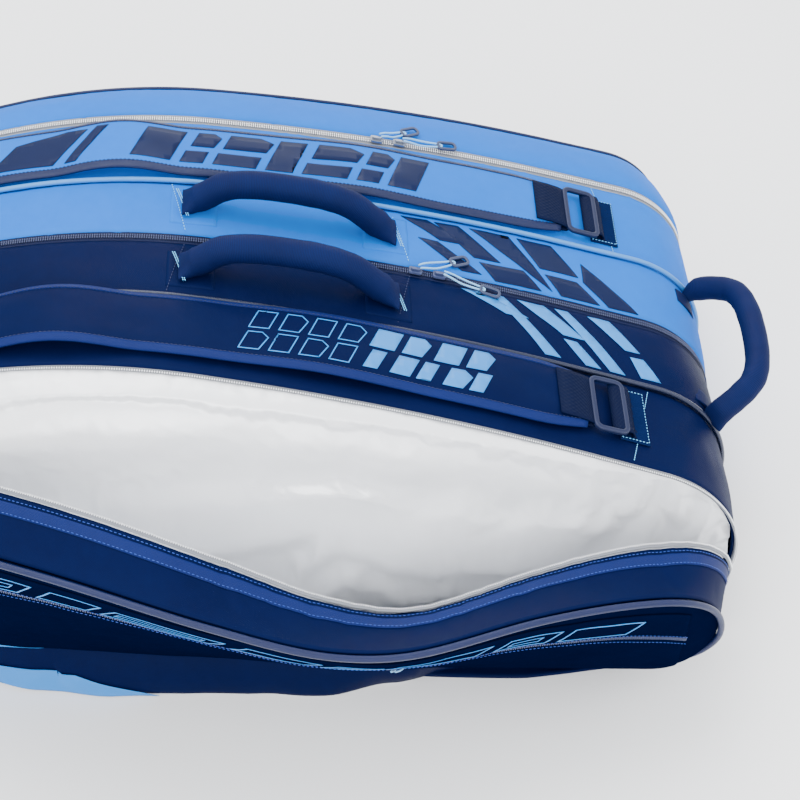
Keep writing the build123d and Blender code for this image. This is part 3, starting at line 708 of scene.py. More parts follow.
def upright(name, xs, low, high, place, material, out, thickness, rows_count=30):
    """A sheet of columns at xs, from low(x) up to high(x), put in space by place(x, z)."""
    rows, uv = [], []
    for x in xs:
        z0, z1 = low(x), high(x)
        zs = [z0 + (z1 - z0) * k / rows_count for k in range(rows_count + 1)]
        rows.append([place(x, z) for z in zs])
        uv.append([(x, z) for z in zs])
    return surface(name, rows, uv, material, lambda p: out, thickness=thickness)


def crown(x, z, inset, rise, edge=46.0):
    """How far foam swells a panel, from nothing at its seam to rise in its field."""
    low, high = height(x, inset, False), height(x, inset)
    half = HALF_LENGTH - inset
    gap = min(z - low, high - z, half - abs(x))
    share = min(max(gap / edge, 0.0), 1.0)
    return rise * sin(pi / 2 * share) ** 0.8


rear_out, front_out = Vector((0, 1, 0)), Vector((0, -1, 0))
for side, name, material, slot in ((1, "rear", LIGHT_BLUE, "light_blue_fabric"),
                                   (-1, "front", NAVY, "navy_fabric")):
    for face in (1, -1):
        def divider_place(x, z):
            swollen = 2.6 + crown(x, z, 4.5, 0.8) * (0.7 + 0.3 * sin(x / 22) * sin(z / 22))
            return Vector((x, flared(side * DIVIDER_Y, x) + face * swollen, z))
        wall = upright(f"{name}_divider_{'rear' if face > 0 else 'front'}_face", columns(4.5),
                       lambda x: height(x, 4.5, False), lambda x: height(x, 4.5), divider_place, material,
                       Vector((0, face, 0)), 1.5, 20)
        finished(wall, "bag", slot, name + "_divider")


def rear_place(x, z):
    return Vector((x, flared(OUTER_Y, x) + 2 + crown(x, z, 18.5, 6.0) + 0.8 * ripple(x, 230, z, 11), z))


finished(upright("rear_panel_cloth", columns(18.5), lambda x: height(x, 18.5, False), lambda x: height(x, 18.5),
                 rear_place, LIGHT_BLUE, rear_out, 4.0), "bag", "light_blue_fabric", "rear_outer_panel")
POCKET_INSET, POCKET_ZIP_Z = 62.5, (196.0, 206.0)
pocket_columns = columns(POCKET_INSET)
zip_columns = [x for x in pocket_columns if height(x, POCKET_INSET) > POCKET_ZIP_Z[1] + 6]


def settle(sheet, held, slack, pressure, cap, frames=20):
    """The sheet after a cloth simulation that holds some points and gives the rest slack and air behind it."""
    pins = sheet.vertex_groups.new(name="held")
    before = [v.co.copy() for v in sheet.data.vertices]
    pins.add([v.index for v in sheet.data.vertices if held(v.co / MM)], 1.0, "REPLACE")
    walls = [(m.thickness, m.offset) for m in sheet.modifiers if m.type == "SOLIDIFY"]
    sheet.modifiers.clear()
    cloth_modifier = sheet.modifiers.new("cloth", "CLOTH")
    settings = cloth_modifier.settings
    settings.vertex_group_mass = "held"
    settings.quality = 4
    settings.mass = 0.12
    settings.tension_stiffness = settings.compression_stiffness = 18
    settings.shear_stiffness, settings.bending_stiffness = 6, 0.6
    settings.shrink_min = -slack
    settings.use_pressure = pressure > 0
    settings.uniform_pressure_force = pressure
    settings.effector_weights.gravity = 0.15
    cloth_modifier.point_cache.frame_start, cloth_modifier.point_cache.frame_end = 1, frames
    for frame_number in range(1, frames + 1):
        scene.frame_set(frame_number)
    settled = sheet.evaluated_get(bpy.context.evaluated_depsgraph_get()).to_mesh()
    after = [v.co.copy() for v in settled.vertices]
    sheet.modifiers.clear()
    sheet.vertex_groups.clear()
    for v, old, new in zip(sheet.data.vertices, before, after):
        way = new - old
        v.co = old + way * min(1.0, cap * MM / max(way.length, 1e-9))
    scene.frame_set(1)
    for thickness, offset in walls:
        wall = sheet.modifiers.new("wall", "SOLIDIFY")
        wall.thickness, wall.offset = thickness, offset
    return sheet


def rear_pocket_place(x, z):
    stand = 2.5 + crown(x, z, POCKET_INSET, 7.0, 26.0) + 1.2 * ripple(x, 240, z, 12)
    return Vector((x, flared(OUTER_Y + 6, x) + stand, z))


def under_zip(x):
    return min(height(x, POCKET_INSET), POCKET_ZIP_Z[0])


pocket = upright("rear_pocket_cloth", pocket_columns, lambda x: height(x, POCKET_INSET, False), under_zip,
                 rear_pocket_place, NAVY, rear_out, 2.5)
settle(pocket, lambda p: min(p.z - height(p.x, POCKET_INSET, False), under_zip(p.x) - p.z,
                            HALF_LENGTH - POCKET_INSET - abs(p.x)) < 3.0, 0.012, 0.6, 5.0)
finished(pocket, "bag", "navy_fabric", "rear_pocket")
hood = upright("rear_pocket_hood", zip_columns, lambda x: POCKET_ZIP_Z[1], lambda x: height(x, POCKET_INSET),
               rear_pocket_place, LIGHT_BLUE, rear_out, 2.5, 10)
finished(hood, "bag", "light_blue_fabric", "rear_pocket_flap")


def rear_zip_place(x, z):
    return rear_pocket_place(x, z) - Vector((0, 1.6, 0))


rear_tape = upright("rear_pocket_zip_tape", zip_columns, lambda x: POCKET_ZIP_Z[0] - 1,
                    lambda x: POCKET_ZIP_Z[1] + 1, rear_zip_place, NAVY_TAPE, rear_out, 1.2, 6)
finished(rear_tape, "bag", "navy_zip", "rear_pocket_zip")
for k, z in enumerate((199.7, 202.3)):
    teeth_line = [(rear_zip_place(x, z) + rear_out * 0.5, rear_out) for x in zip_columns]
    finished(links(f"rear_pocket_teeth_{k}", [teeth_line], TEETH_PITCH, TOOTH, NAVY_TEETH), "bag", "navy_zip")
ring = [p - n * (POCKET_INSET + 3.5) for p, n in rim + rim[:1]]
pocket_seam = [(rear_pocket_place(p.x, p.y) + rear_out * 0.3, rear_out) for p in ring
               if not POCKET_ZIP_Z[0] - 2 < p.y < POCKET_ZIP_Z[1] + 2]
finished(links("rear_pocket_stitches", [pocket_seam], SEAM_PITCH, SEAM_STITCH, thread["light_blue"]), "bag",
         "light_blue_fabric")

# ---- pipings -----------------------------------------------------------------------------------
# Corded beads sewn into the long seams: light blue and dark silver beside the middle gussets, navy
# on the outer edges. Each is a round cord in a bias strip.
PIPE_BLUE = cloth("light_blue_piping", (0.015, 0.15, 0.46), (0.046, 0.23, 0.56), threads=1500, relief=0.5,
                  roughness=0.4)
PIPE_NAVY = cloth("navy_piping", (0.00046, 0.003, 0.027), (0.0015, 0.0084, 0.057), threads=1500, relief=0.5,
                  roughness=0.3, Specular_IOR_Level=0.3)
PIPE_STEEL = cloth("steel_piping", (0.003, 0.0061, 0.023), (0.0091, 0.015, 0.046), threads=1500, relief=0.4,
                   roughness=0.22, Metallic=0.2)


def tube(name, path, radius, material, closed=False, around_count=10, scale=None):
    """A round tube along points; scale(k) may give its two radii as factors and a frame's up vector."""
    rows, uv, run, count = [], [], 0.0, len(path)
    up = Vector((0, 0, 1))
    for i, p in enumerate(path):
        a = path[i - 1] if i or closed else path[0]
        b = path[(i + 1) % count] if i < count - 1 or closed else path[-1]
        tangent = (b - a).normalized()
        if i:
            run += (p - path[i - 1]).length
        wide, tall, upright_axis = scale(i) if scale else (1, 1, up)
        side = tangent.cross(upright_axis).normalized()
        top_axis = side.cross(tangent).normalized()
        ring, flat = [], []
        for k in range(around_count + 1):
            angle = 2 * pi * k / around_count
            ring.append(p + (side * cos(angle) * wide + top_axis * sin(angle) * tall) * radius)
            flat.append((run, angle * radius))
        rows.append(ring)
        uv.append(flat)
    middle = path[(count - 1) // 2]
    return welded(surface(name, rows, uv, material, lambda q: q - middle, closed=closed), fill=not closed)


for name, y, material in (("rear_seam_piping", DIVIDER_Y, PIPE_BLUE),
                          ("front_seam_piping", -DIVIDER_Y, PIPE_STEEL)):
    rows, _, _ = over_the_top(y, y + 1, -1.6, 1, least=12)
    finished(tube(name, [row[0] for row in rows], 2.3, material), "bag", "piping", "centre_pipings")
rows, _, _ = over_the_top(OUTER_Y, OUTER_Y + 1, 17.0, 1, least=30)
finished(tube("rear_edge_cord", [row[0] for row in rows], 1.9, PIPE_NAVY), "bag", "piping", "rear_edge_piping")

# ---- base panel --------------------------------------------------------------------------------
# The stiffened floor under the three compartments, in a coarse coated cloth. A flat sheet that
# follows the seams, so it stays inside the bag's outline.
BASE_HALF_LENGTH, BASE_HALF_WIDTH, BASE_Z = 260.0, 200.0, 0.4
COATED = cloth("coated_base_cloth", (0.009, 0.014, 0.034), (0.017, 0.024, 0.057), threads=420, relief=0.7,
               roughness=0.5, by_uv=False)
rows, uv = [], []
for i in range(53):
    x = -BASE_HALF_LENGTH + 10.0 * i
    ys = [BASE_HALF_WIDTH * (k / 10 - 1) for k in range(21)]
    rows.append([Vector((x, flared(y, x), BASE_Z)) for y in ys])
    uv.append([(p.x, p.y) for p in rows[-1]])
base_sheet = surface("base_cloth_panel", rows, uv, COATED, lambda p: Vector((0, 0, -1)), thickness=1.6)
finished(base_sheet, "bag", "base_fabric", "base_panel")

# ---- tray of the front compartment -------------------------------------------------------------
# What stays on the bag when the front is open: the floor of that compartment and its low front
# wall, navy, with a rounded lower edge that bellies out over the ground.
def low_rim(z_limit):
    """The rim's points below a height, in one run along the base from right to left."""
    n = len(rim)
    kept = [k for k in range(n) if rim[k][0].y <= z_limit]
    kept.sort(key=lambda k: rim_run[k] if k < n / 2 else rim_run[k] - rim_run[-1])
    return kept


def tray_middle(x):
    """1 along the tray's straight front, falling to 0 at its rounded ends."""
    share = min(max((335 - x) / 150 if x > 0 else (352 + x) / 90, 0.0), 1.0)
    return share * share * (3 - 2 * share)


rows, uv = [], []
for k in low_rim(46.5):
    p, normal = rim[k]
    row, flat = [], []
    for j in range(19):
        v = j / 18
        y = -159 - 71 * v
        rounding = 20 * max(0.0, (v - 0.72) / 0.28) ** 2 * (1 - tray_middle(p.x))
        belly = 2.0 * sin(pi * v) + 0.6 * ripple(p.x, y, p.y, 21)
        q = p - normal * (0.8 - min(belly, 1.6) + rounding)
        row.append(Vector((q.x, flared(y, q.x), max(q.y, 0.8))))
        flat.append((rim_run[k], y))
    rows.append(row)
    uv.append(flat)
finished(surface("front_tray_floor", rows, uv, NAVY, from_middle, thickness=2.5), "bag", "navy_fabric",
         "front_base_tray")


TRAY_INSET = 22.0


def tray_low(x):
    """Height of the tray wall's lower edge."""
    return height(x, TRAY_INSET, False) * (1 - tray_middle(x)) + height(x, 1.0, False) * tray_middle(x)


# how far forward the wall's lower edge has slumped, as x and y
TRAY_SLUMP = ((-380, -211), (-345, -211), (-300, -223), (-235, -238), (-165, -247), (-100, -249),
              (-40, -252), (20, -256), (80, -244), (140, -231), (200, -227), (260, -225), (310, -223),
              (345, -211), (380, -211))


def tray_foot(x):
    """Where the tray wall's lower edge stands, as a smooth line through TRAY_SLUMP."""
    k = min(max(bisect_left(TRAY_SLUMP, (x,)), 1), len(TRAY_SLUMP) - 1)
    (x0, y0), (x1, y1) = TRAY_SLUMP[k - 1], TRAY_SLUMP[k]
    share = (x - x0) / (x1 - x0)
    return y0 + (y1 - y0) * share * share * (3 - 2 * share)


def tray_wall(x, z, lift=0.0):
    """A point of the tray's front wall, which leans out from its foot and swells between its seams."""
    low = tray_low(x)
    share = min(max((z - low) / max(FLAP_HINGE + 1.5 - low, 1), 0.0), 1.0)
    seam = flared(-230, x) - 8.5 * min(1.0, max(0.0, (HALF_LENGTH - TRAY_INSET - abs(x)) / 60)) ** 0.5
    swollen = (5.0 if tray_foot(x) < -240 else 1.5) * sin(pi * share)
    y = tray_foot(x) * (1 - share) + seam * share - swollen - 0.7 * ripple(x, -230, z, 22)
    return Vector((x, y - lift, z))


tray_columns = [x for x in columns(TRAY_INSET) if tray_low(x) < 43]
finished(upright("front_tray_wall", tray_columns, tray_low, lambda x: FLAP_HINGE + 1.5,
                 tray_wall, NAVY, front_out, 2.5, 14), "bag", "navy_fabric")

# ---- foil lining -------------------------------------------------------------------------------
# A thermal sheet, silver-white and thin, gathered into the upper zip. It swells out of the mouth
# in soft folds and hangs down inside the flap; its cut edge is tucked in at the floor.
LINING_TUCK = 378.5


def lining_curve(x):
    """The sheet's section at x, from the zip out over its brow and down, as points of (y, z)."""
    crest, low = height(x), height(x, 0, False) + 14
    s = min(1.0, (crest - low - 10) / 150)
    end = 1 - max(0.0, abs(x) - 250) / 130
    reach = 156 + (201 - 0.09 * x - 156) * end
    return [(158.5, crest - 2.5), (158 + (reach - 158) * 0.35, crest - 6.5 + 2 * end),
            (158 + (reach - 158) * 0.75, crest - 16 * s), (reach, crest - 36 * s),
            (reach - 2 * end, crest - 66 * s),
            (reach - 6 * end, crest - 100 * s), (reach - 12 * end, (crest - 100 * s + low) / 2),
            (reach - 20 * end, low)]


def along_curve(points, t):
    """A point at t of a smooth line through points, from 0 to 1."""
    count = len(points) - 1
    at = min(t * count, count - 1e-6)
    i, u = int(at), at - int(at)
    p0, p1, p2, p3 = (Vector(points[min(max(i + k, 0), count)]) for k in (-1, 0, 1, 2))
    return 0.5 * (2 * p1 + (p2 - p0) * u + (2 * p0 - 5 * p1 + 4 * p2 - p3) * u * u
                  + (3 * p1 - p0 - 3 * p2 + p3) * u ** 3)


rows, uv = [], []
LINING_COLUMNS, LINING_ROWS = 236, 64
for i in range(LINING_COLUMNS + 1):
    x = -LINING_TUCK + 2 * LINING_TUCK * i / LINING_COLUMNS
    section = lining_curve(x)
    row, flat, run = [], [], 0.0
    for k in range(LINING_ROWS + 1):
        t = (k / LINING_ROWS) ** 1.15
        y, z = along_curve(section, t)
        near_zip = max(0.0, 1 - t / 0.30)
        fade = near_zip * (0.35 + 0.65 * min(1, t * 18))
        gather = abs(noise.noise(Vector((x / 7.5, t * 2.2, 3.1)))) * 3.0 * fade
        folds = 3.2 * noise.noise(Vector((x / 58 + t * 2.6, t * 3.2, 7.7))) * min(1, t * 6)
        crisp = 1.5 * abs(noise.noise(Vector((x / 16 - t * 3.0, t * 9.0, 1.4)))) * min(1, t * 8)
        crush = max(0.0, (x - 215) / 137) * 6.0 * noise.noise(Vector((x / 21, t * 6.5, 4.2))) * min(1, t * 5)
        out = gather + folds - crisp + crush
        steep = min(max((t - 0.12) / 0.25, 0.0), 1.0)
        p = Vector((x, -flared(y, x) - out * steep, z - out * (1 - steep) * 0.8))
        row.append(p)
        run += (p - row[-2]).length if k else 0.0
        flat.append((x, run))
    rows.append(row)
    uv.append(flat)
foil = Finish("thermal_foil", 0.38, Metallic=0.15, Specular_IOR_Level=0.55)
foil_uv = foil.add("ShaderNodeTexCoord")
creases = foil.add("ShaderNodeTexVoronoi", [("Vector", foil_uv.outputs["UV"])], feature="DISTANCE_TO_EDGE",
                   Scale=95.0)
soft = foil.add("ShaderNodeTexNoise", [("Vector", foil_uv.outputs["UV"])], Scale=38.0, Detail=5.0,
                Roughness=0.6)
foil_wear = foil.add("ShaderNodeGroup", [("Vector", foil_uv.outputs["Object"])], node_tree=wear_group)
foil_wear.inputs["Patch size"].default_value = 0.09
tone = foil.add("ShaderNodeMix", [("Factor", foil_wear.outputs["Patches"])], data_type="RGBA")
tone.inputs["A"].default_value = (0.90, 0.915, 0.95, 1)
tone.inputs["B"].default_value = (0.97, 0.98, 1.0, 1)
foil.to("Base Color", tone.outputs["Result"])
crinkle = foil.add("ShaderNodeMath", [(0, creases.outputs["Distance"]), (1, soft.outputs["Fac"])],
                   operation="MULTIPLY")
bump = foil.add("ShaderNodeBump", [("Height", crinkle.outputs[0])], Strength=0.35, Distance=0.0012)
foil.to("Normal", bump.outputs["Normal"])
gloss = foil.add("ShaderNodeMapRange", [("Value", soft.outputs["Fac"])])
gloss.inputs["To Min"].default_value, gloss.inputs["To Max"].default_value = 0.26, 0.46
foil.to("Roughness", gloss.outputs["Result"])
lining = surface("foil_lining_sheet", rows, uv, foil.material, lambda p: Vector((0, -1, 0.3)))


def lining_held(p):
    """Whether a point of the lining is caught at its ends, in the zip or at the floor."""
    return abs(p.x) > LINING_TUCK - 8 or not height(p.x, 0, False) + 22 <= p.z <= height(p.x) - 9


settle(lining, lining_held, 0.022, 0.25, 6.0)
finished(lining, "bag", "foil", "foil_lining")

# ---- opened front flap -------------------------------------------------------------------------
# A padded navy panel with a pocket on its face, bellied outwards by its own weight. Its gusset, the
# lip, stands inwards from the panel's edge and ends in the lower half of the open zip.
ROYAL = cloth("royal_blue_tape", (0.0003, 0.005, 0.055), (0.001, 0.011, 0.1), threads=800, relief=0.8,
              roughness=0.5, Specular_IOR_Level=0.15)
DEEP_NAVY = cloth("deep_navy_polyester", (0.00023, 0.0011, 0.0099), (0.00061, 0.003, 0.02), roughness=0.7,
                  worn=(0.004, 0.012, 0.06), Specular_IOR_Level=0.0)
FLAP_X = 356.0


def belly(x, z):
    """How far the flap's face swells outwards over its seams, in millimetres."""
    low, high = max(FLAP_HINGE, height(x, FLAP_INSET, False)), height(x, FLAP_INSET)
    v = min(max((z - low) / max(high - low, 1), 0.0), 1.0)
    end = min(max((FLAP_X - abs(x)) / 50, 0.0), 1.0)
    return (9.0 * (1 - v) ** 3 + 10.5 * (4 * v * (1 - v)) ** 0.55) * sin(pi / 2 * end) ** 0.8


def flap_face(x, z, lift=0.0):
    """A point of the flap's outer face with its swell and soft folds."""
    folds = 1.3 * noise.noise(Vector((x / 85 + z / 160, z / 38, 31)))
    folds += 0.5 * noise.noise(Vector((x / 26, z / 17, 32)))
    return on_flap(x, z, -(belly(x, z) + folds * min(1.0, belly(x, z) / 5) + lift))


flap_columns = [-FLAP_X] + [x for x in columns(FLAP_INSET) if abs(x) < FLAP_X - 0.5] + [FLAP_X]


def flap_low(x):
    return max(FLAP_HINGE, height(x, FLAP_INSET, False))


def flap_high(x):
    return height(x, FLAP_INSET)


panel = upright("front_flap_panel", flap_columns, flap_low, flap_high, lambda x, z: flap_face(x, z, -1.0),
                DEEP_NAVY, front_out, 4.5, 40)
finished(panel, "front_flap", "navy_fabric", "front_outer_panel")
inner = upright("front_flap_lining_cloth", flap_columns[2:-2], lambda x: flap_low(x) + 2,
                lambda x: flap_high(x) - 5, lambda x, z: on_flap(x, z, 7.5 + 0.6 * ripple(x, 0, z, 33)),
                foil.material, rear_out, 1.0, 20)
finished(inner, "front_flap", "foil", "front_flap_lining")

POCKET_X = (-322.0, 326.0)
pocket_xs = [x for x in columns(FLAP_INSET) if POCKET_X[0] < x < POCKET_X[1]]
pocket_xs = [POCKET_X[0]] + pocket_xs + [POCKET_X[1]]


def pocket_face(x, z, lift=0.0):
    """A point of the flap's pocket, whose edges are turned under."""
    edge = min(x - POCKET_X[0], POCKET_X[1] - x, flap_high(x) - 12 - z, z - flap_low(x) - 8)
    return flap_face(x, z, 0.3 + 1.8 * min(max(edge / 6, 0.0), 1.0) ** 0.5 + lift)


for name, low, high, node in (
        ("front_pocket_yoke", lambda x: flap_high(x) - 48, lambda x: flap_high(x) - 12, "front_pocket_top"),
        ("front_pocket_cloth", lambda x: flap_low(x) + 8, lambda x: flap_high(x) - 56, "front_pocket")):
    part = upright(name, pocket_xs, low, high, pocket_face, DEEP_NAVY, front_out, 2.0, 26)
    finished(part, "front_flap", "navy_fabric", node)
pocket_tape = upright("front_pocket_zip_tape", pocket_xs, lambda x: flap_high(x) - 56.5,
                      lambda x: flap_high(x) - 47.5, lambda x, z: flap_face(x, z, 0.6), ROYAL,
                      front_out, 1.2, 5)
finished(pocket_tape, "front_flap", "navy_zip", "front_pocket_zip")
for k, drop in enumerate((50.7, 53.3)):
    line = [(flap_face(x, flap_high(x) - drop, 1.2), front_out) for x in pocket_xs]
    finished(links(f"front_pocket_teeth_{k}", [line], TEETH_PITCH, TOOTH, NAVY_TEETH), "front_flap", "navy_zip")

# the flap's rim, from its left foot over the top to its right foot, and the lip that stands on it
flap_rim = []
for (p, normal), run in zip(rim, rim_run):
    q = p - normal * FLAP_INSET
    if q.y > FLAP_HINGE + 2:
        flap_rim.append((q, normal, run))


def lip_point(q, normal, w, lift=0.0, root=5.0):
    """A point of the lip: w millimetres in from the flap's edge seam, lift out of its cloth."""
    lip, lean = flap_angle(q.x, 2), flap_angle(q.x, 1)
    over, inward = Vector((0, cos(lip), sin(lip))), Vector((0, cos(lean), sin(lean)))
    upright_share = max(normal.y, 0.0) ** 2
    way = (over * upright_share + (inward + Vector((0.30 * normal.x, 0, 0))) * (1 - upright_share)).normalized()
    out = Vector((normal.x, 0, 0)) + Vector((0, -sin(lip), cos(lip))) * max(normal.y, 0.0)
    sag = -3.0 * sin(pi * min(w / 52, 1.0)) * upright_share + 0.4
    puckers = 1.6 * abs(noise.noise(Vector((q.x / 11, q.y / 11, w / 40)))) * (w / 52) ** 2
    crease = max(0.0, noise.noise(Vector((q.x / 17 + w / 55, q.y / 17, 43))) - 0.12) * -5.0 * (w / 52) ** 0.5
    folds = 1.8 * noise.noise(Vector((q.x / 60 + w / 70, q.y / 60, 41))) + crease
    stand = sag + folds * sin(pi * min(w / 52, 1.0)) + puckers + lift
    return on_flap(q.x, q.y, root) + way * w + out.normalized() * stand


def lip_band(name, widths, lift, material, thickness):
    rows = [[lip_point(q, n, w, lift) for w in widths] for q, n, _ in flap_rim]
    uv = [[(run, w) for w in widths] for _, _, run in flap_rim]
    return surface(name, rows, uv, material, lambda p: Vector((0, -0.2, 1)), thickness=thickness)


lip = lip_band("front_flap_lip", [50 * k / 14 for k in range(15)], 0.0, NAVY, 2.5)
finished(lip, "front_flap", "navy_fabric", "front_outer_gusset")
lower_band = lip_band("front_zip_lower_band", [34 + 1.5 * k for k in range(8)], 0.8, ROYAL, 0.8)
finished(lower_band, "front_flap", "navy_fabric")
lower_tape = lip_band("front_zip_lower_tape", [51 + 0.7 * k for k in range(6)], 1.3, SILVER_TAPE, 1.2)
finished(lower_tape, "front_flap", "silver_zip", "front_zip_lower")
edge_line = [(lip_point(q, n, 54.6, 1.2), Vector((0, -0.3, 1))) for q, n, _ in flap_rim]
lower_teeth = links("front_zip_lower_teeth", [edge_line], TEETH_PITCH, OPEN_TOOTH, SILVER_TEETH)
finished(lower_teeth, "front_flap", "silver_zip")
edge_path = [on_flap(q.x, q.y, -1.0) + Vector((n.x, 0, n.y)) * 1.5 for q, n, _ in flap_rim]
finished(tube("front_edge_cord", edge_path, 2.9, PIPE_NAVY), "front_flap", "piping", "front_edge_piping")
seams = [[(lip_point(q, n, w, 1.3), Vector((0, -0.3, 1))) for q, n, _ in flap_rim] for w in (35.5, 46.5)]
lip_stitches = links("front_lip_stitches", seams, SEAM_PITCH, SEAM_STITCH, thread["royal"])
finished(lip_stitches, "front_flap", "navy_fabric")
drops = [[(flap_face(x, flap_high(x) - d, 2.4), front_out) for x in pocket_xs] for d in (46, 58.5)]
pocket_stitches = links("front_pocket_stitches", drops, SEAM_PITCH, SEAM_STITCH, thread["royal"])
finished(pocket_stitches, "front_flap", "navy_fabric")

# ---- shoulder straps ---------------------------------------------------------------------------
# Two padded straps along the inner gussets, light blue on the rear and navy on the front, bound in
# navy tape. Each hangs from a sewn anchor on the left and runs into webbing on the right.
STRAP_X, STRAP_HALF, STRAP_PAD, WEB_HALF = (-300.0, 245.0), 33.0, 7.0, 24.0
STRAP_MID = {"rear": 112.0, "front": -112.0}
HUMPS = {"rear": ((-150, 60, 7.0), (60, 80, 3.0)), "front": ((-190, 70, 9.0), (30, 90, 3.5))}


def strap_width(x):
    """Half the strap's width, drawn in at both ends."""
    narrow = min(1.0, (x - STRAP_X[0] + 16) / 60, (STRAP_X[1] + 24 - x) / 70)
    return STRAP_HALF * (0.62 + 0.38 * sin(pi / 2 * max(narrow, 0.0)))


def strap_base(side, x, y):
    """The height of a strap's underside over the bag: it lies on it, but for its soft humps."""
    rise = sum(tall * max(0.0, 1 - ((x - at) / reach) ** 2) ** 2 for at, reach, tall in HUMPS[side])
    return 2.9 + rise + 0.5 * noise.noise(Vector((x / 45, y / 40, 51)))


def on_strap(side, x, across, lift=0.0):
    """A point on a strap's face: across runs from -1 to 1 over its width."""
    y = STRAP_MID[side] + across * strap_width(x)
    crest = (1 - abs(across) ** 3.2) ** 0.5
    bend = 1.2 * (1 - across ** 2) * noise.noise(Vector((x / 38, across * 1.3, 52)))
    place = on_top(x, y, strap_base(side, x, y) + 2.2 + (STRAP_PAD - 2.2) * crest + bend + lift)
    return place.translation


def straps_up(p):
    return Vector((0, 0, 1))


for side, material, slot in (("rear", LIGHT_BLUE, "light_strap"), ("front", NAVY, "navy_strap")):
    rows, uv = [], []
    steps = 110
    for i in range(steps + 1):
        x = STRAP_X[0] + (STRAP_X[1] - STRAP_X[0]) * i / steps
        upper = [on_strap(side, x, -1 + 2 * k / 16) for k in range(17)]
        under = []
        for k in range(9):
            across = 1 - 2 * k / 8
            y = STRAP_MID[side] + across * strap_width(x)
            under.append(on_top(x, y, strap_base(side, x, y)).translation)
        ring = upper + under
        rows.append(ring + ring[:1])
        uv.append([(x, k * 4.2) for k in range(len(ring) + 1)])
    pad = welded(surface(f"{side}_strap_pad", rows, uv, material, straps_up), fill=True, outward=True)
    finished(pad, side + "_strap", slot, side + "_strap")
    for edge in (-1, 1):
        rows, uv = [], []
        for i in range(steps + 1):
            x = STRAP_X[0] + (STRAP_X[1] - STRAP_X[0]) * i / steps
            row = [on_strap(side, x, edge * (0.80 + 0.19 * k / 5), 0.7 if k else -0.3) for k in range(6)]
            y = STRAP_MID[side] + edge * (strap_width(x) + 1.2)
            row.append(on_top(x, y, strap_base(side, x, y) + 2.6).translation)
            y -= edge * 1.4
            row.append(on_top(x, y, strap_base(side, x, y) + 0.1).translation)
            rows.append(row)
            uv.append([(x, 3.0 * k) for k in range(8)])
        binding = surface(f"{side}_strap_binding_{'rear' if edge > 0 else 'front'}", rows, uv,
                          PIPE_NAVY if side == "rear" else ROYAL, straps_up, thickness=0.7)
        finished(binding, side + "_strap", slot)
    seams = [[(on_strap(side, STRAP_X[0] + 6 + 5.4 * i, edge * 0.83, 0.9), Vector((0, 0, 1)))
              for i in range(100)] for edge in (-1, 1)]
    stitches = links(side + "_strap_stitches", seams, SEAM_PITCH, SEAM_STITCH, thread["navy"])
    finished(stitches, side + "_strap", slot)

    # webbing from the pad's end, through the buckle and back under itself
    mid = STRAP_MID[side]
    path = [(STRAP_X[1] - 24, 11.0), (STRAP_X[1] - 10, 10.6), (STRAP_X[1], 9.4), (STRAP_X[1] + 5, 8.2),
            (STRAP_X[1] + 8.5, 5.6), (STRAP_X[1] + 6.5, 3.6), (STRAP_X[1] - 2, 3.0), (STRAP_X[1] - 14, 3.0)]
    rows = [[on_top(x, mid + WEB_HALF * k / 6, lift).translation for k in range(-6, 7)] for x, lift in path]
    uv = [[(i * 9.0, WEB_HALF * k / 6) for k in range(-6, 7)] for i in range(len(path))]
    webbing = cloth(side + "_webbing", (0.0003, 0.0015, 0.013), (0.00091, 0.0046, 0.027), threads=500,
                    relief=1.0, roughness=0.6, Specular_IOR_Level=0.06)
    tail = surface(side + "_strap_webbing", rows, uv, webbing, straps_up, thickness=1.4)
    tail.modifiers["wall"].offset = 0
    finished(tail, side + "_strap", slot)
    path = [(268, 5.6), (272, 7.6), (279, 8.9), (284, 8.0), (287, 5.0), (286, 2.2), (292, 1.6), (298, 1.6)]
    rows = [[on_top(x, mid + WEB_HALF * k / 6, lift).translation for k in range(-6, 7)] for x, lift in path]
    loop = surface(side + "_buckle_loop", rows, uv, webbing, straps_up, thickness=1.2)
    loop.modifiers["wall"].offset = 0
    finished(loop, side + "_strap", slot)

    # sewn anchor under the strap's left end
    rows = [[on_top(-336 + 40 * i / 8, mid + 4.0 * k, 2.2 + 2.2 * sin(pi / 2 * i / 8)).translation
             for k in range(-6, 7)] for i in range(9)]
    uv = [[(5.0 * i, 4.0 * k) for k in range(-6, 7)] for i in range(9)]
    anchor = surface(side + "_strap_anchor", rows, uv, webbing, straps_up, thickness=2.0)
    finished(anchor, "bag", slot, "strap_anchors")
    tack = [[(on_top(x, mid - 20 + 40 * k / 20, 4.6).translation, Vector((0, 0, 1))) for k in range(21)]
            for x in (-330, -325, -312)]
    finished(links(side + "_anchor_stitches", tack, 2.6, (2.2, 0.8, 0.7), thread["navy"]), "bag", slot)

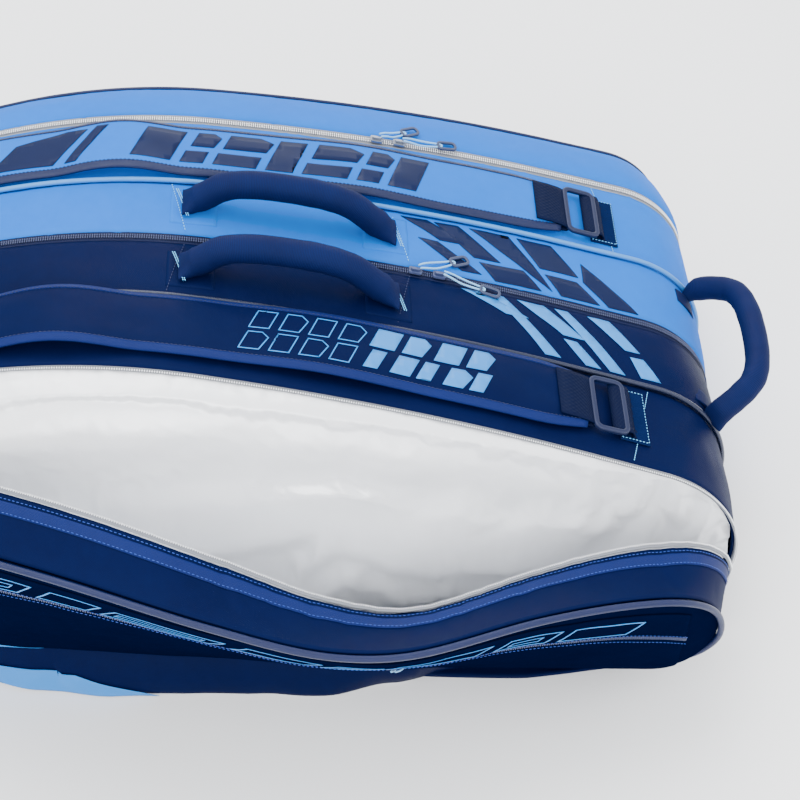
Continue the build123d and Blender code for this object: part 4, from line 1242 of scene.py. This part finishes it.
# ---- hook-and-loop patches ---------------------------------------------------------------------
# Fuzzy navy squares beyond the straps' ends, cut from knitted pile and sewn round in light blue.
pile = cloth("loop_pile", (0.0008, 0.004, 0.026), (0.004, 0.012, 0.058), threads=700, relief=1.0,
             roughness=0.85, by_uv=False, worn=(0.02, 0.04, 0.12), Specular_IOR_Level=0.02)
for side, mid in STRAP_MID.items():
    rows, uv = [], []
    for i in range(19):
        x = 276 + 26 * i / 18
        rows.append([])
        uv.append([])
        for k in range(37):
            y = mid - 27 + 54 * k / 36
            edge = min(i, 18 - i, k, 36 - k)
            fuzz = 0.5 * noise.noise(Vector((x * 1.7, y * 1.7, 61))) + 0.9 * min(edge / 2, 1.0)
            rows[-1].append(on_top(x, y, 1.5 + fuzz).translation)
            uv[-1].append((x, y))
    patch = surface(side + "_loop_patch", rows, uv, pile, straps_up, thickness=1.2)
    finished(patch, "bag", "hook_and_loop", "strap_patches")
    frame_line = [(277.5, -25.5), (300.5, -25.5), (300.5, 25.5), (277.5, 25.5), (277.5, -25.5)]
    dense = []
    for (x0, y0), (x1, y1) in zip(frame_line, frame_line[1:]):
        dense += [(x0 + (x1 - x0) * k / 12, mid + y0 + (y1 - y0) * k / 12) for k in range(12)]
    stitched = [[(on_top(x, y, 2.9).translation, Vector((0, 0, 1))) for x, y in dense + dense[:1]]]
    finished(links(side + "_patch_stitches", stitched, 3.2, (2.3, 0.8, 0.7), thread["light_blue"]), "bag",
             "hook_and_loop")

# ---- buckles -----------------------------------------------------------------------------------
# Moulded rectangular loops with rounded corners, grey-navy and satin, that the straps run through.
def loop_frame(name, place, length, width, bar, thick, corner, material):
    """A rounded rectangular frame of a soft-edged bar, lying in place's XY plane with its foot at z 0."""
    path = []
    half_l, half_w = (length - bar) / 2, (width - bar) / 2
    for cx, cy, start in ((1, 1, 0), (-1, 1, 90), (-1, -1, 180), (1, -1, 270)):
        for k in range(7):
            angle = radians(start + 15 * k)
            path.append(((half_l - corner) * cx + corner * cos(angle),
                         (half_w - corner) * cy + corner * sin(angle), cos(angle), sin(angle)))
    rows, uv = [], []
    for i, (x, y, nx, ny) in enumerate(path):
        ring = []
        for k in range(13):
            angle = 2 * pi * k / 12
            c, s = cos(angle), sin(angle)
            out = bar / 2 * abs(c) ** 0.55 * (1 if c > 0 else -1)
            up = thick / 2 * abs(s) ** 0.55 * (1 if s > 0 else -1)
            ring.append(place @ Vector((x + nx * out, y + ny * out, thick / 2 + up)))
        rows.append(ring)
        uv.append([(i * 4.0, k * 1.3) for k in range(13)])
    x, y = path[(len(path) - 1) // 2][:2]
    centre = place @ Vector((x, y, thick / 2))
    obj = welded(surface(name, rows, uv, material, lambda p: p - centre, closed=True), outward=True)
    smooth = obj.modifiers.new("rounded", "SUBSURF")
    smooth.levels = smooth.render_levels = 1
    return obj


ACETAL = moulded("satin_acetal", (0.0006, 0.0035, 0.024), (0.002, 0.008, 0.042), 0.40, grain=500,
                Specular_IOR_Level=0.3)
for side, mid in STRAP_MID.items():
    buckle = loop_frame(side + "_buckle_frame", on_top(266, mid, 5.3), 34, 62, 5.2, 4.5, 6.0, ACETAL)
    finished(buckle, side + "_buckle", "buckle_plastic", side + "_buckle")

# ---- carry handles -----------------------------------------------------------------------------
# Two soft round handles of padded ribbed fabric. Each end flattens to a tab that is sewn to the
# bag on a stitched patch with a bar tack.
def ribbed(name, dark, light, by_uv=True):
    """Ribbed upholstery cloth: fine cords across the handle, in two tones, with worn crowns."""
    made = Finish(name, 0.7, Specular_IOR_Level=0.12)
    coordinates = made.add("ShaderNodeTexCoord")
    where = coordinates.outputs["UV" if by_uv else "Object"]
    cords = made.add("ShaderNodeTexWave", [("Vector", where)], wave_type="BANDS", bands_direction="X",
                     Scale=240.0, Distortion=0.6, Detail=1.0)
    weave = made.add("ShaderNodeGroup", [("Vector", where)], node_tree=weave_group)
    weave.inputs["Threads per metre"].default_value = 1300
    wear = made.add("ShaderNodeGroup", [("Vector", coordinates.outputs["Object"])], node_tree=wear_group)
    wear.inputs["Patch size"].default_value = 0.03
    tone = made.add("ShaderNodeMix", data_type="RGBA")
    tone.inputs["A"].default_value = (*dark, 1)
    tone.inputs["B"].default_value = (*light, 1)
    share = made.add("ShaderNodeMath", [(0, cords.outputs["Fac"]), (1, wear.outputs["Patches"])],
                     operation="MULTIPLY")
    made.tree.links.new(share.outputs[0], tone.inputs["Factor"])
    made.to("Base Color", tone.outputs["Result"])
    relief = made.add("ShaderNodeMath", [(0, weave.outputs["Height"]), (2, cords.outputs["Fac"])],
                      operation="MULTIPLY_ADD")
    relief.inputs[1].default_value = 0.3
    bump = made.add("ShaderNodeBump", [("Height", relief.outputs[0])], Strength=0.5, Distance=0.0003)
    made.to("Normal", bump.outputs["Normal"])
    return made.material


RIBBED = ribbed("ribbed_navy", (0.0002, 0.003, 0.032), (0.001, 0.0105, 0.085))
HANDLE_REACH, HANDLE_Y, HANDLE_RISE, HANDLE_RADIUS = 75.0, 40.0, 34.0, 12.3


def handle_path(y):
    """A carry handle's centre line from tab to tab, arched over the bag."""
    crest = height(0) + HANDLE_RISE
    fall = (height(HANDLE_REACH) - height(-HANDLE_REACH)) / (2 * HANDLE_REACH)
    feet = [(92, 5.0), (84, 8.0), (72, 15.5)]
    arch = [(54, -6.0), (30, 0.5), (0, 2.0)]
    key = [(-x, height(-x) + rise) for x, rise in feet] + [(-x, crest - fall * x + rise) for x, rise in arch]
    key += [(x, crest + fall * x + rise) for x, rise in arch[-2::-1]]
    key += [(x, height(x) + rise) for x, rise in feet[::-1]]
    return [Vector((p[0], y, p[1])) for p in (along_curve(key, k / 60) for k in range(61))]


def handle_section(i, count=60):
    """Round in the middle, flat at the sewn ends."""
    edge = min(i, count - i) / count
    flat = max(0.0, 1 - edge / 0.16)
    crumple = 0.05 * noise.noise(Vector((i / 3.2, 0, 71)))
    return 1 + 0.35 * flat + crumple, 1 - 0.76 * flat + crumple, Vector((0, 0, 1))


for side, y in (("rear", HANDLE_Y), ("front", -HANDLE_Y)):
    path = handle_path(y)
    grip = tube(side + "_grip", path, HANDLE_RADIUS, RIBBED, around_count=28, scale=handle_section)
    finished(grip, side + "_carry_handle", "handle_webbing", side + "_carry_handle")
    seam = [[(p + Vector((0, 0, -HANDLE_RADIUS * handle_section(i)[1] - 0.1)), Vector((0, 0, -1)))
             for i, p in enumerate(path) if 10 < i < 50]]
    finished(links(side + "_grip_seam", seam, 3.4, (2.4, 0.8, 0.7), thread["navy"]), side + "_carry_handle",
             "handle_webbing")
    bars = []
    for end in (-1, 1):
        for at in (91.5, 93.2):
            bars.append([(Vector((end * at - 5 + 10 * k / 16, y + 17 - 34 * k / 16,
                                  height(end * at) + 5.6 + 2.6 * sin(pi * k / 16))), Vector((0, 0, 1)))
                         for k in range(17)])
        rows, uv = [], []
        for i in range(15):
            x = end * 83 - 20 + 40 * i / 14
            rows.append([])
            uv.append([])
            for k in range(19):
                across = y - 22 + 44 * k / 18
                border = min(i, 14 - i, k, 18 - k)
                slope = Vector((2, height(x + 1) - height(x - 1))).normalized()
                rows[-1].append(on_gusset("centre_rear" if side == "rear" else "centre_front", x, height(x),
                                          Vector((-slope.y, slope.x)), across, 0.3 + 0.2 * min(border, 1)))
                uv[-1].append((x, across))
        finished(surface(f"{side}_handle_patch_{'right' if end > 0 else 'left'}", rows, uv,
                         LIGHT_BLUE if side == "rear" else NAVY, straps_up, thickness=2.0), "bag",
                 "light_blue_fabric" if side == "rear" else "navy_fabric", "carry_handle_patches")
    tacks = links(side + "_handle_tacks", bars, 1.9, (1.9, 1.0, 0.8), thread["light_blue"])
    finished(tacks, "bag", "handle_webbing")
    gusset, shade, away = ("centre_rear", "light_blue", 1) if side == "rear" else ("centre_front", "navy", -1)
    across = [[(on_gusset(gusset, end * 96 - (v - 40) * 0.22, height(end * 96), Vector((0, 1)), away * v, 1.2),
                Vector((0, 0, 1))) for v in range(10, 72, 2)] for end in (-1, 1)]
    finished(links(side + "_handle_seams", across, 3.2, (2.6, 0.9, 0.8), thread[shade]), "bag",
             "light_blue_fabric")

# ---- end handle --------------------------------------------------------------------------------
# The same padded cloth in a wide low loop at the right end, on two flat tabs sewn to the gussets.
END_KEY = [(371, 80, 160), (380, 77, 171), (395, 69, 180), (409, 56, 187), (416, 34, 190), (418, 0, 191),
           (416, -34, 190), (409, -56, 187), (395, -69, 180), (380, -77, 171), (371, -80, 160)]


def spatial_curve(points, count):
    """Points on a smooth line through points in space."""
    flat = [along_curve([(p[0], p[1]) for p in points], k / count) for k in range(count + 1)]
    tall = [along_curve([(p[2], 0) for p in points], k / count) for k in range(count + 1)]
    return [Vector((a.x, a.y, b.x)) for a, b in zip(flat, tall)]


end_path = spatial_curve(END_KEY, 72)


def end_section(i):
    edge = min(i, 72 - i) / 72
    flat = max(0.0, 1 - edge / 0.10)
    crumple = 0.04 * noise.noise(Vector((i / 3.0, 0, 72)))
    return 1 + 0.15 * flat + crumple, 1 - 0.6 * flat + crumple, Vector((0.4, 0, 1)).normalized()


grip = tube("end_grip", end_path, 11.3, RIBBED, around_count=28, scale=end_section)
finished(grip, "end_handle", "handle_webbing", "end_handle")
centre, radius = Vector((275.0, 0, 103.5)), 110.0
for side in (1, -1):
    rows, uv = [], []
    for i in range(13):
        angle = radians(43 - 16 * i / 12)
        normal = Vector((cos(angle), 0, sin(angle)))
        spot = centre + normal * (radius + 1.8 + 1.6 * sin(pi * i / 12))
        rows.append([spot + Vector((0, side * 62 + 2.0 * k - 8, 0)) for k in range(9)])
        uv.append([(radius * angle, 2.0 * k) for k in range(9)])
    tab = surface(f"end_tab_{'rear' if side > 0 else 'front'}", rows, uv, RIBBED, lambda p: Vector((1, 0, 1)),
                  thickness=1.6)
    finished(tab, "bag", "handle_webbing", "end_handle_tabs")

# ---- sliders and tabs --------------------------------------------------------------------------
# Cast sliders with a painted satin skin, and the moulded open tabs that the cords hold.
SLIDER_METAL = moulded("painted_zinc", (0.16, 0.18, 0.22), (0.26, 0.28, 0.32), 0.28, Metallic=0.8)
NAVY_SLIDER = moulded("navy_painted_zinc", (0.012, 0.02, 0.06), (0.03, 0.045, 0.12), 0.30, Coat_Weight=0.3)
TAB_RUBBER = moulded("navy_moulded_tab", (0.0076, 0.015, 0.049), (0.017, 0.03, 0.084), 0.42, grain=700)
for name, at in pull_frames.items():
    tab = loop_frame(name + "_tab_frame", at @ Matrix.Translation((0, 0, 0.7)), TAB[0], TAB[1], 3.0, TAB[2],
                     3.4, TAB_RUBBER)
    finished(tab, name + "_pull", "pull_tab", name + "_tab")
    metal = NAVY_SLIDER if name.startswith(("centre", "front_pocket")) else SLIDER_METAL
    for slot_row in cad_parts[name + "_slider"].material_slots:
        slot_row.material = metal
    _, reach, _, hang, _, length = PULLS[name]
    cord = bpy.data.objects[name + "_loop"]
    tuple(cord.data.splines[0].points[0].co[:3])

# ---- printed shapes ----------------------------------------------------------------------------
# Screen-printed bars and slanted outlines on the cloth: dark navy on the light blue, light blue on
# the navy, royal on the flap. They are thin films of ink that follow the surface under them.
INK_LIFT = 0.55


def print_on(name, shapes, place, material, grid=7.0):
    """Flat shapes in a surface's own two measures, cut to a grid and laid on it by place(u, v, lift)."""
    bm = bmesh.new()
    for shape in shapes:
        bm.faces.new([bm.verts.new((u, v, 0)) for u, v in shape])
    for axis in (0, 1):
        values = [v.co[axis] for v in bm.verts]
        at = (min(values) // grid + 1) * grid
        while at < max(values):
            way = Vector((1, 0, 0)) if axis == 0 else Vector((0, 1, 0))
            everything = bm.verts[:] + bm.edges[:] + bm.faces[:]
            bmesh.ops.bisect_plane(bm, geom=everything, plane_co=way * at, plane_no=way)
            at += grid
    bm.verts.ensure_lookup_table()
    verts = [place(v.co.x, v.co.y, INK_LIFT) for v in bm.verts]
    above = [place(v.co.x, v.co.y, INK_LIFT + 2.45) for v in bm.verts]
    bm.verts.index_update()
    faces = []
    for face in bm.faces:
        ids = [v.index for v in face.verts]
        normal = (verts[ids[1]] - verts[ids[0]]).cross(verts[ids[2]] - verts[ids[0]])
        faces.append(tuple(ids) if normal.dot(above[ids[0]] - verts[ids[0]]) > 0 else tuple(reversed(ids)))
    uv = [(v.co.x * MM, v.co.y * MM) for v in bm.verts]
    bm.free()
    obj = link(name, [p * MM for p in verts], faces, uv)
    obj.data.materials.append(material)
    film = obj.modifiers.new("film", "SOLIDIFY")
    film.thickness = 0.3 * MM
    film.offset = -1
    return obj


def outline(shape, width):
    """A shape's outline as strips of a width, drawn inside it."""
    count = len(shape)
    points = [Vector(p) for p in shape]
    turn = sum(a.x * b.y - b.x * a.y for a, b in zip(points, points[1:] + points[:1]))
    sign = 1 if turn > 0 else -1
    inner = []
    for k in range(count):
        a, b, c = points[k - 1], points[k], points[(k + 1) % count]
        n0 = Vector((-(b - a).y, (b - a).x)).normalized() * sign
        n1 = Vector((-(c - b).y, (c - b).x)).normalized() * sign
        miter = (n0 + n1).normalized()
        inner.append(b + miter * (width / max(miter.dot(n0), 0.3)))
    return [(tuple(points[k]), tuple(points[(k + 1) % count]), tuple(inner[(k + 1) % count]), tuple(inner[k]))
            for k in range(count)]


def slanted(x, y, long, tall, lean, cut=0.0):
    """A slanted bar from its lower left corner, with an optional cut upper corner."""
    corner = [(x + long + lean, y + tall)]
    if cut:
        corner = [(x + long + lean, y + tall * (1 - cut)), (x + long * (1 - cut) + lean, y + tall)]
    return [(x, y), (x + long, y), *corner, (x + lean, y + tall)]


INK_NAVY = cloth("navy_ink", (0.00076, 0.0038, 0.027), (0.0023, 0.0084, 0.046), relief=0.25, roughness=0.42,
                 Specular_IOR_Level=0.12)
INK_BLUE = cloth("light_blue_ink", (0.0091, 0.15, 0.47), (0.023, 0.21, 0.56), relief=0.25, roughness=0.42,
                 Specular_IOR_Level=0.3)


def on_shell(which):
    """A way to lay a print on a gusset's upper side: x along the bag, y across it."""
    def place(x, y, lift):
        e = 1.0
        slope = Vector((2 * e, height(x + e) - height(x - e))).normalized()
        return on_gusset(which, x, height(x), Vector((-slope.y, slope.x)), y, lift)
    return place


# dark shapes on the light blue to the right of the rear carry handle
shapes = [[(132, 44), (158, 44), (122, 68), (98, 68)], [(150, 12), (168, 12), (130, 42), (112, 42)],
          [(180, 8), (222, 8), (206, 26), (166, 26)], [(162, 30), (186, 30), (150, 67), (128, 67)],
          [(214, 22), (232, 10), (196, 67), (160, 67)], [(240, 8), (276, 8), (256, 28), (226, 28)],
          [(222, 34), (258, 34), (236, 67), (204, 67)], [(284, 8), (312, 8), (262, 52), (262, 30)]]
finished(print_on("rear_gusset_print", shapes, on_shell("centre_rear"), INK_NAVY), "bag", "light_blue_fabric")
# light blue shapes on the navy beside them
shapes = [[(186, -30), (206, -30), (168, -9), (148, -9)], [(218, -66), (232, -66), (186, -9), (176, -9)],
          [(236, -40), (256, -40), (222, -9), (198, -9)], [(254, -67), (268, -67), (248, -44), (236, -44)],
          [(276, -67), (290, -67), (244, -9), (232, -9)], [(292, -40), (306, -40), (282, -9), (262, -9)],
          [(304, -66), (322, -66), (308, -46), (296, -46)]]
finished(print_on("front_gusset_print", shapes, on_shell("centre_front"), INK_BLUE), "bag", "navy_fabric")


def on_pad(side):
    def place(x, across, lift):
        return on_strap(side, x, across / STRAP_HALF, lift)
    return place


shapes = [[(-262, -23), (-206, -23), (-178, 20), (-196, 22), (-240, 10)],
          [(-196, -23), (-186, -23), (-160, 23), (-170, 23)]]
for k, (start, long) in enumerate(((-140, 34), (-98, 20), (-70, 38), (-24, 24), (8, 40), (56, 20), (84, 26))):
    shapes.append(slanted(start, -21, long, 15 if k % 3 else 42, 5 if k % 3 else 14))
    if k % 3:
        shapes.append(slanted(start + 9, 1, long, 20, 7, 0.3))
finished(print_on("rear_strap_print", shapes, on_pad("rear"), INK_NAVY), "rear_strap", "light_strap")
shapes = []
for k in range(4):
    shapes += outline(slanted(-36 + 24 * k, 2, 17, 21, 8, 0.3 if k % 2 else 0), 1.0)
    shapes += outline(slanted(-44 + 24 * k, -22, 17, 20, 8, 0 if k % 2 else 0.3), 1.0)
finished(print_on("front_strap_outlines", shapes, on_pad("front"), INK_BLUE), "front_strap", "navy_strap")
shapes = [slanted(56 + 22 * k, -22, 17 if k % 2 else 12, 20, 9, 0.35 if k == 3 else 0) for k in range(5)]
shapes += [slanted(62 + 27 * k, 2, 21 - 4 * (k % 2), 22, 9, 0.3 if k % 2 else 0) for k in range(4)]
finished(print_on("front_strap_shapes", shapes, on_pad("front"), INK_BLUE), "front_strap", "navy_strap")


def on_field(x, z, lift):
    """A point of the flap's field, on its pocket where that covers it."""
    return (pocket_face if POCKET_X[0] < x < POCKET_X[1] else flap_face)(x, z, lift)


def on_pocket(x, drop, lift):
    """x along the flap and a drop below its edge seam."""
    return on_field(x, flap_high(x) - drop, lift)


shapes = []
x = -345.0
bars = ((48, 12), (70, 14), (40, 10), (84, 16), (58, 12), (36, 12), (76, 14), (44, 10), (60, 8))
for k, (long, gap) in enumerate(bars):
    lean = 15
    bar = [(x, 42), (x + long, 42), (x + long + lean, 18), (x + lean, 18)]
    shapes += outline(bar, 1.3)
    if k % 2:
        shapes += outline([(x + 12, 35), (x + long - 6, 35), (x + long - 1, 26), (x + 17, 26)], 1.0)
    x += long + gap
finished(print_on("flap_outlines", shapes, on_pocket, INK_BLUE), "front_flap", "navy_fabric")


# a light sweep across the lower left corner of the flap and the tray under it
finished(print_on("flap_wedge", [[(-345, 51), (-222, 51), (-345, 100)]], on_field, INK_BLUE), "front_flap",
         "light_blue_fabric")


sweep = [[(-325, 12), (-325, 24), (-200, 24), (-127, 2.5), (-225, 1.5), (-285, 5)]]
sweep_print = print_on("tray_sweep", sweep, lambda x, z, lift: tray_wall(x, z, lift + 1.2), INK_BLUE, 4.0)
finished(sweep_print, "bag", "light_blue_fabric")

# ---- slanted seams by the loop patches ---------------------------------------------------------
# Two light seams run across the end of the gussets, one on each side, as short raised stitches.
for which, slot, start, end in (("rear_inner", "light_blue_fabric", (297, 80), (285, 156)),
                                ("front_inner", "navy_fabric", (308, -80), (286, -156))):
    lay = on_shell(which)
    line = [(lay(start[0] + (end[0] - start[0]) * k / 30, start[1] + (end[1] - start[1]) * k / 30, 0.8),
             Vector((0.2, 0, 1))) for k in range(31)]
    finished(links(which + "_slanted_seam", [line], 2.6, (2.5, 0.9, 0.7), thread["light_blue"]), "bag", slot)
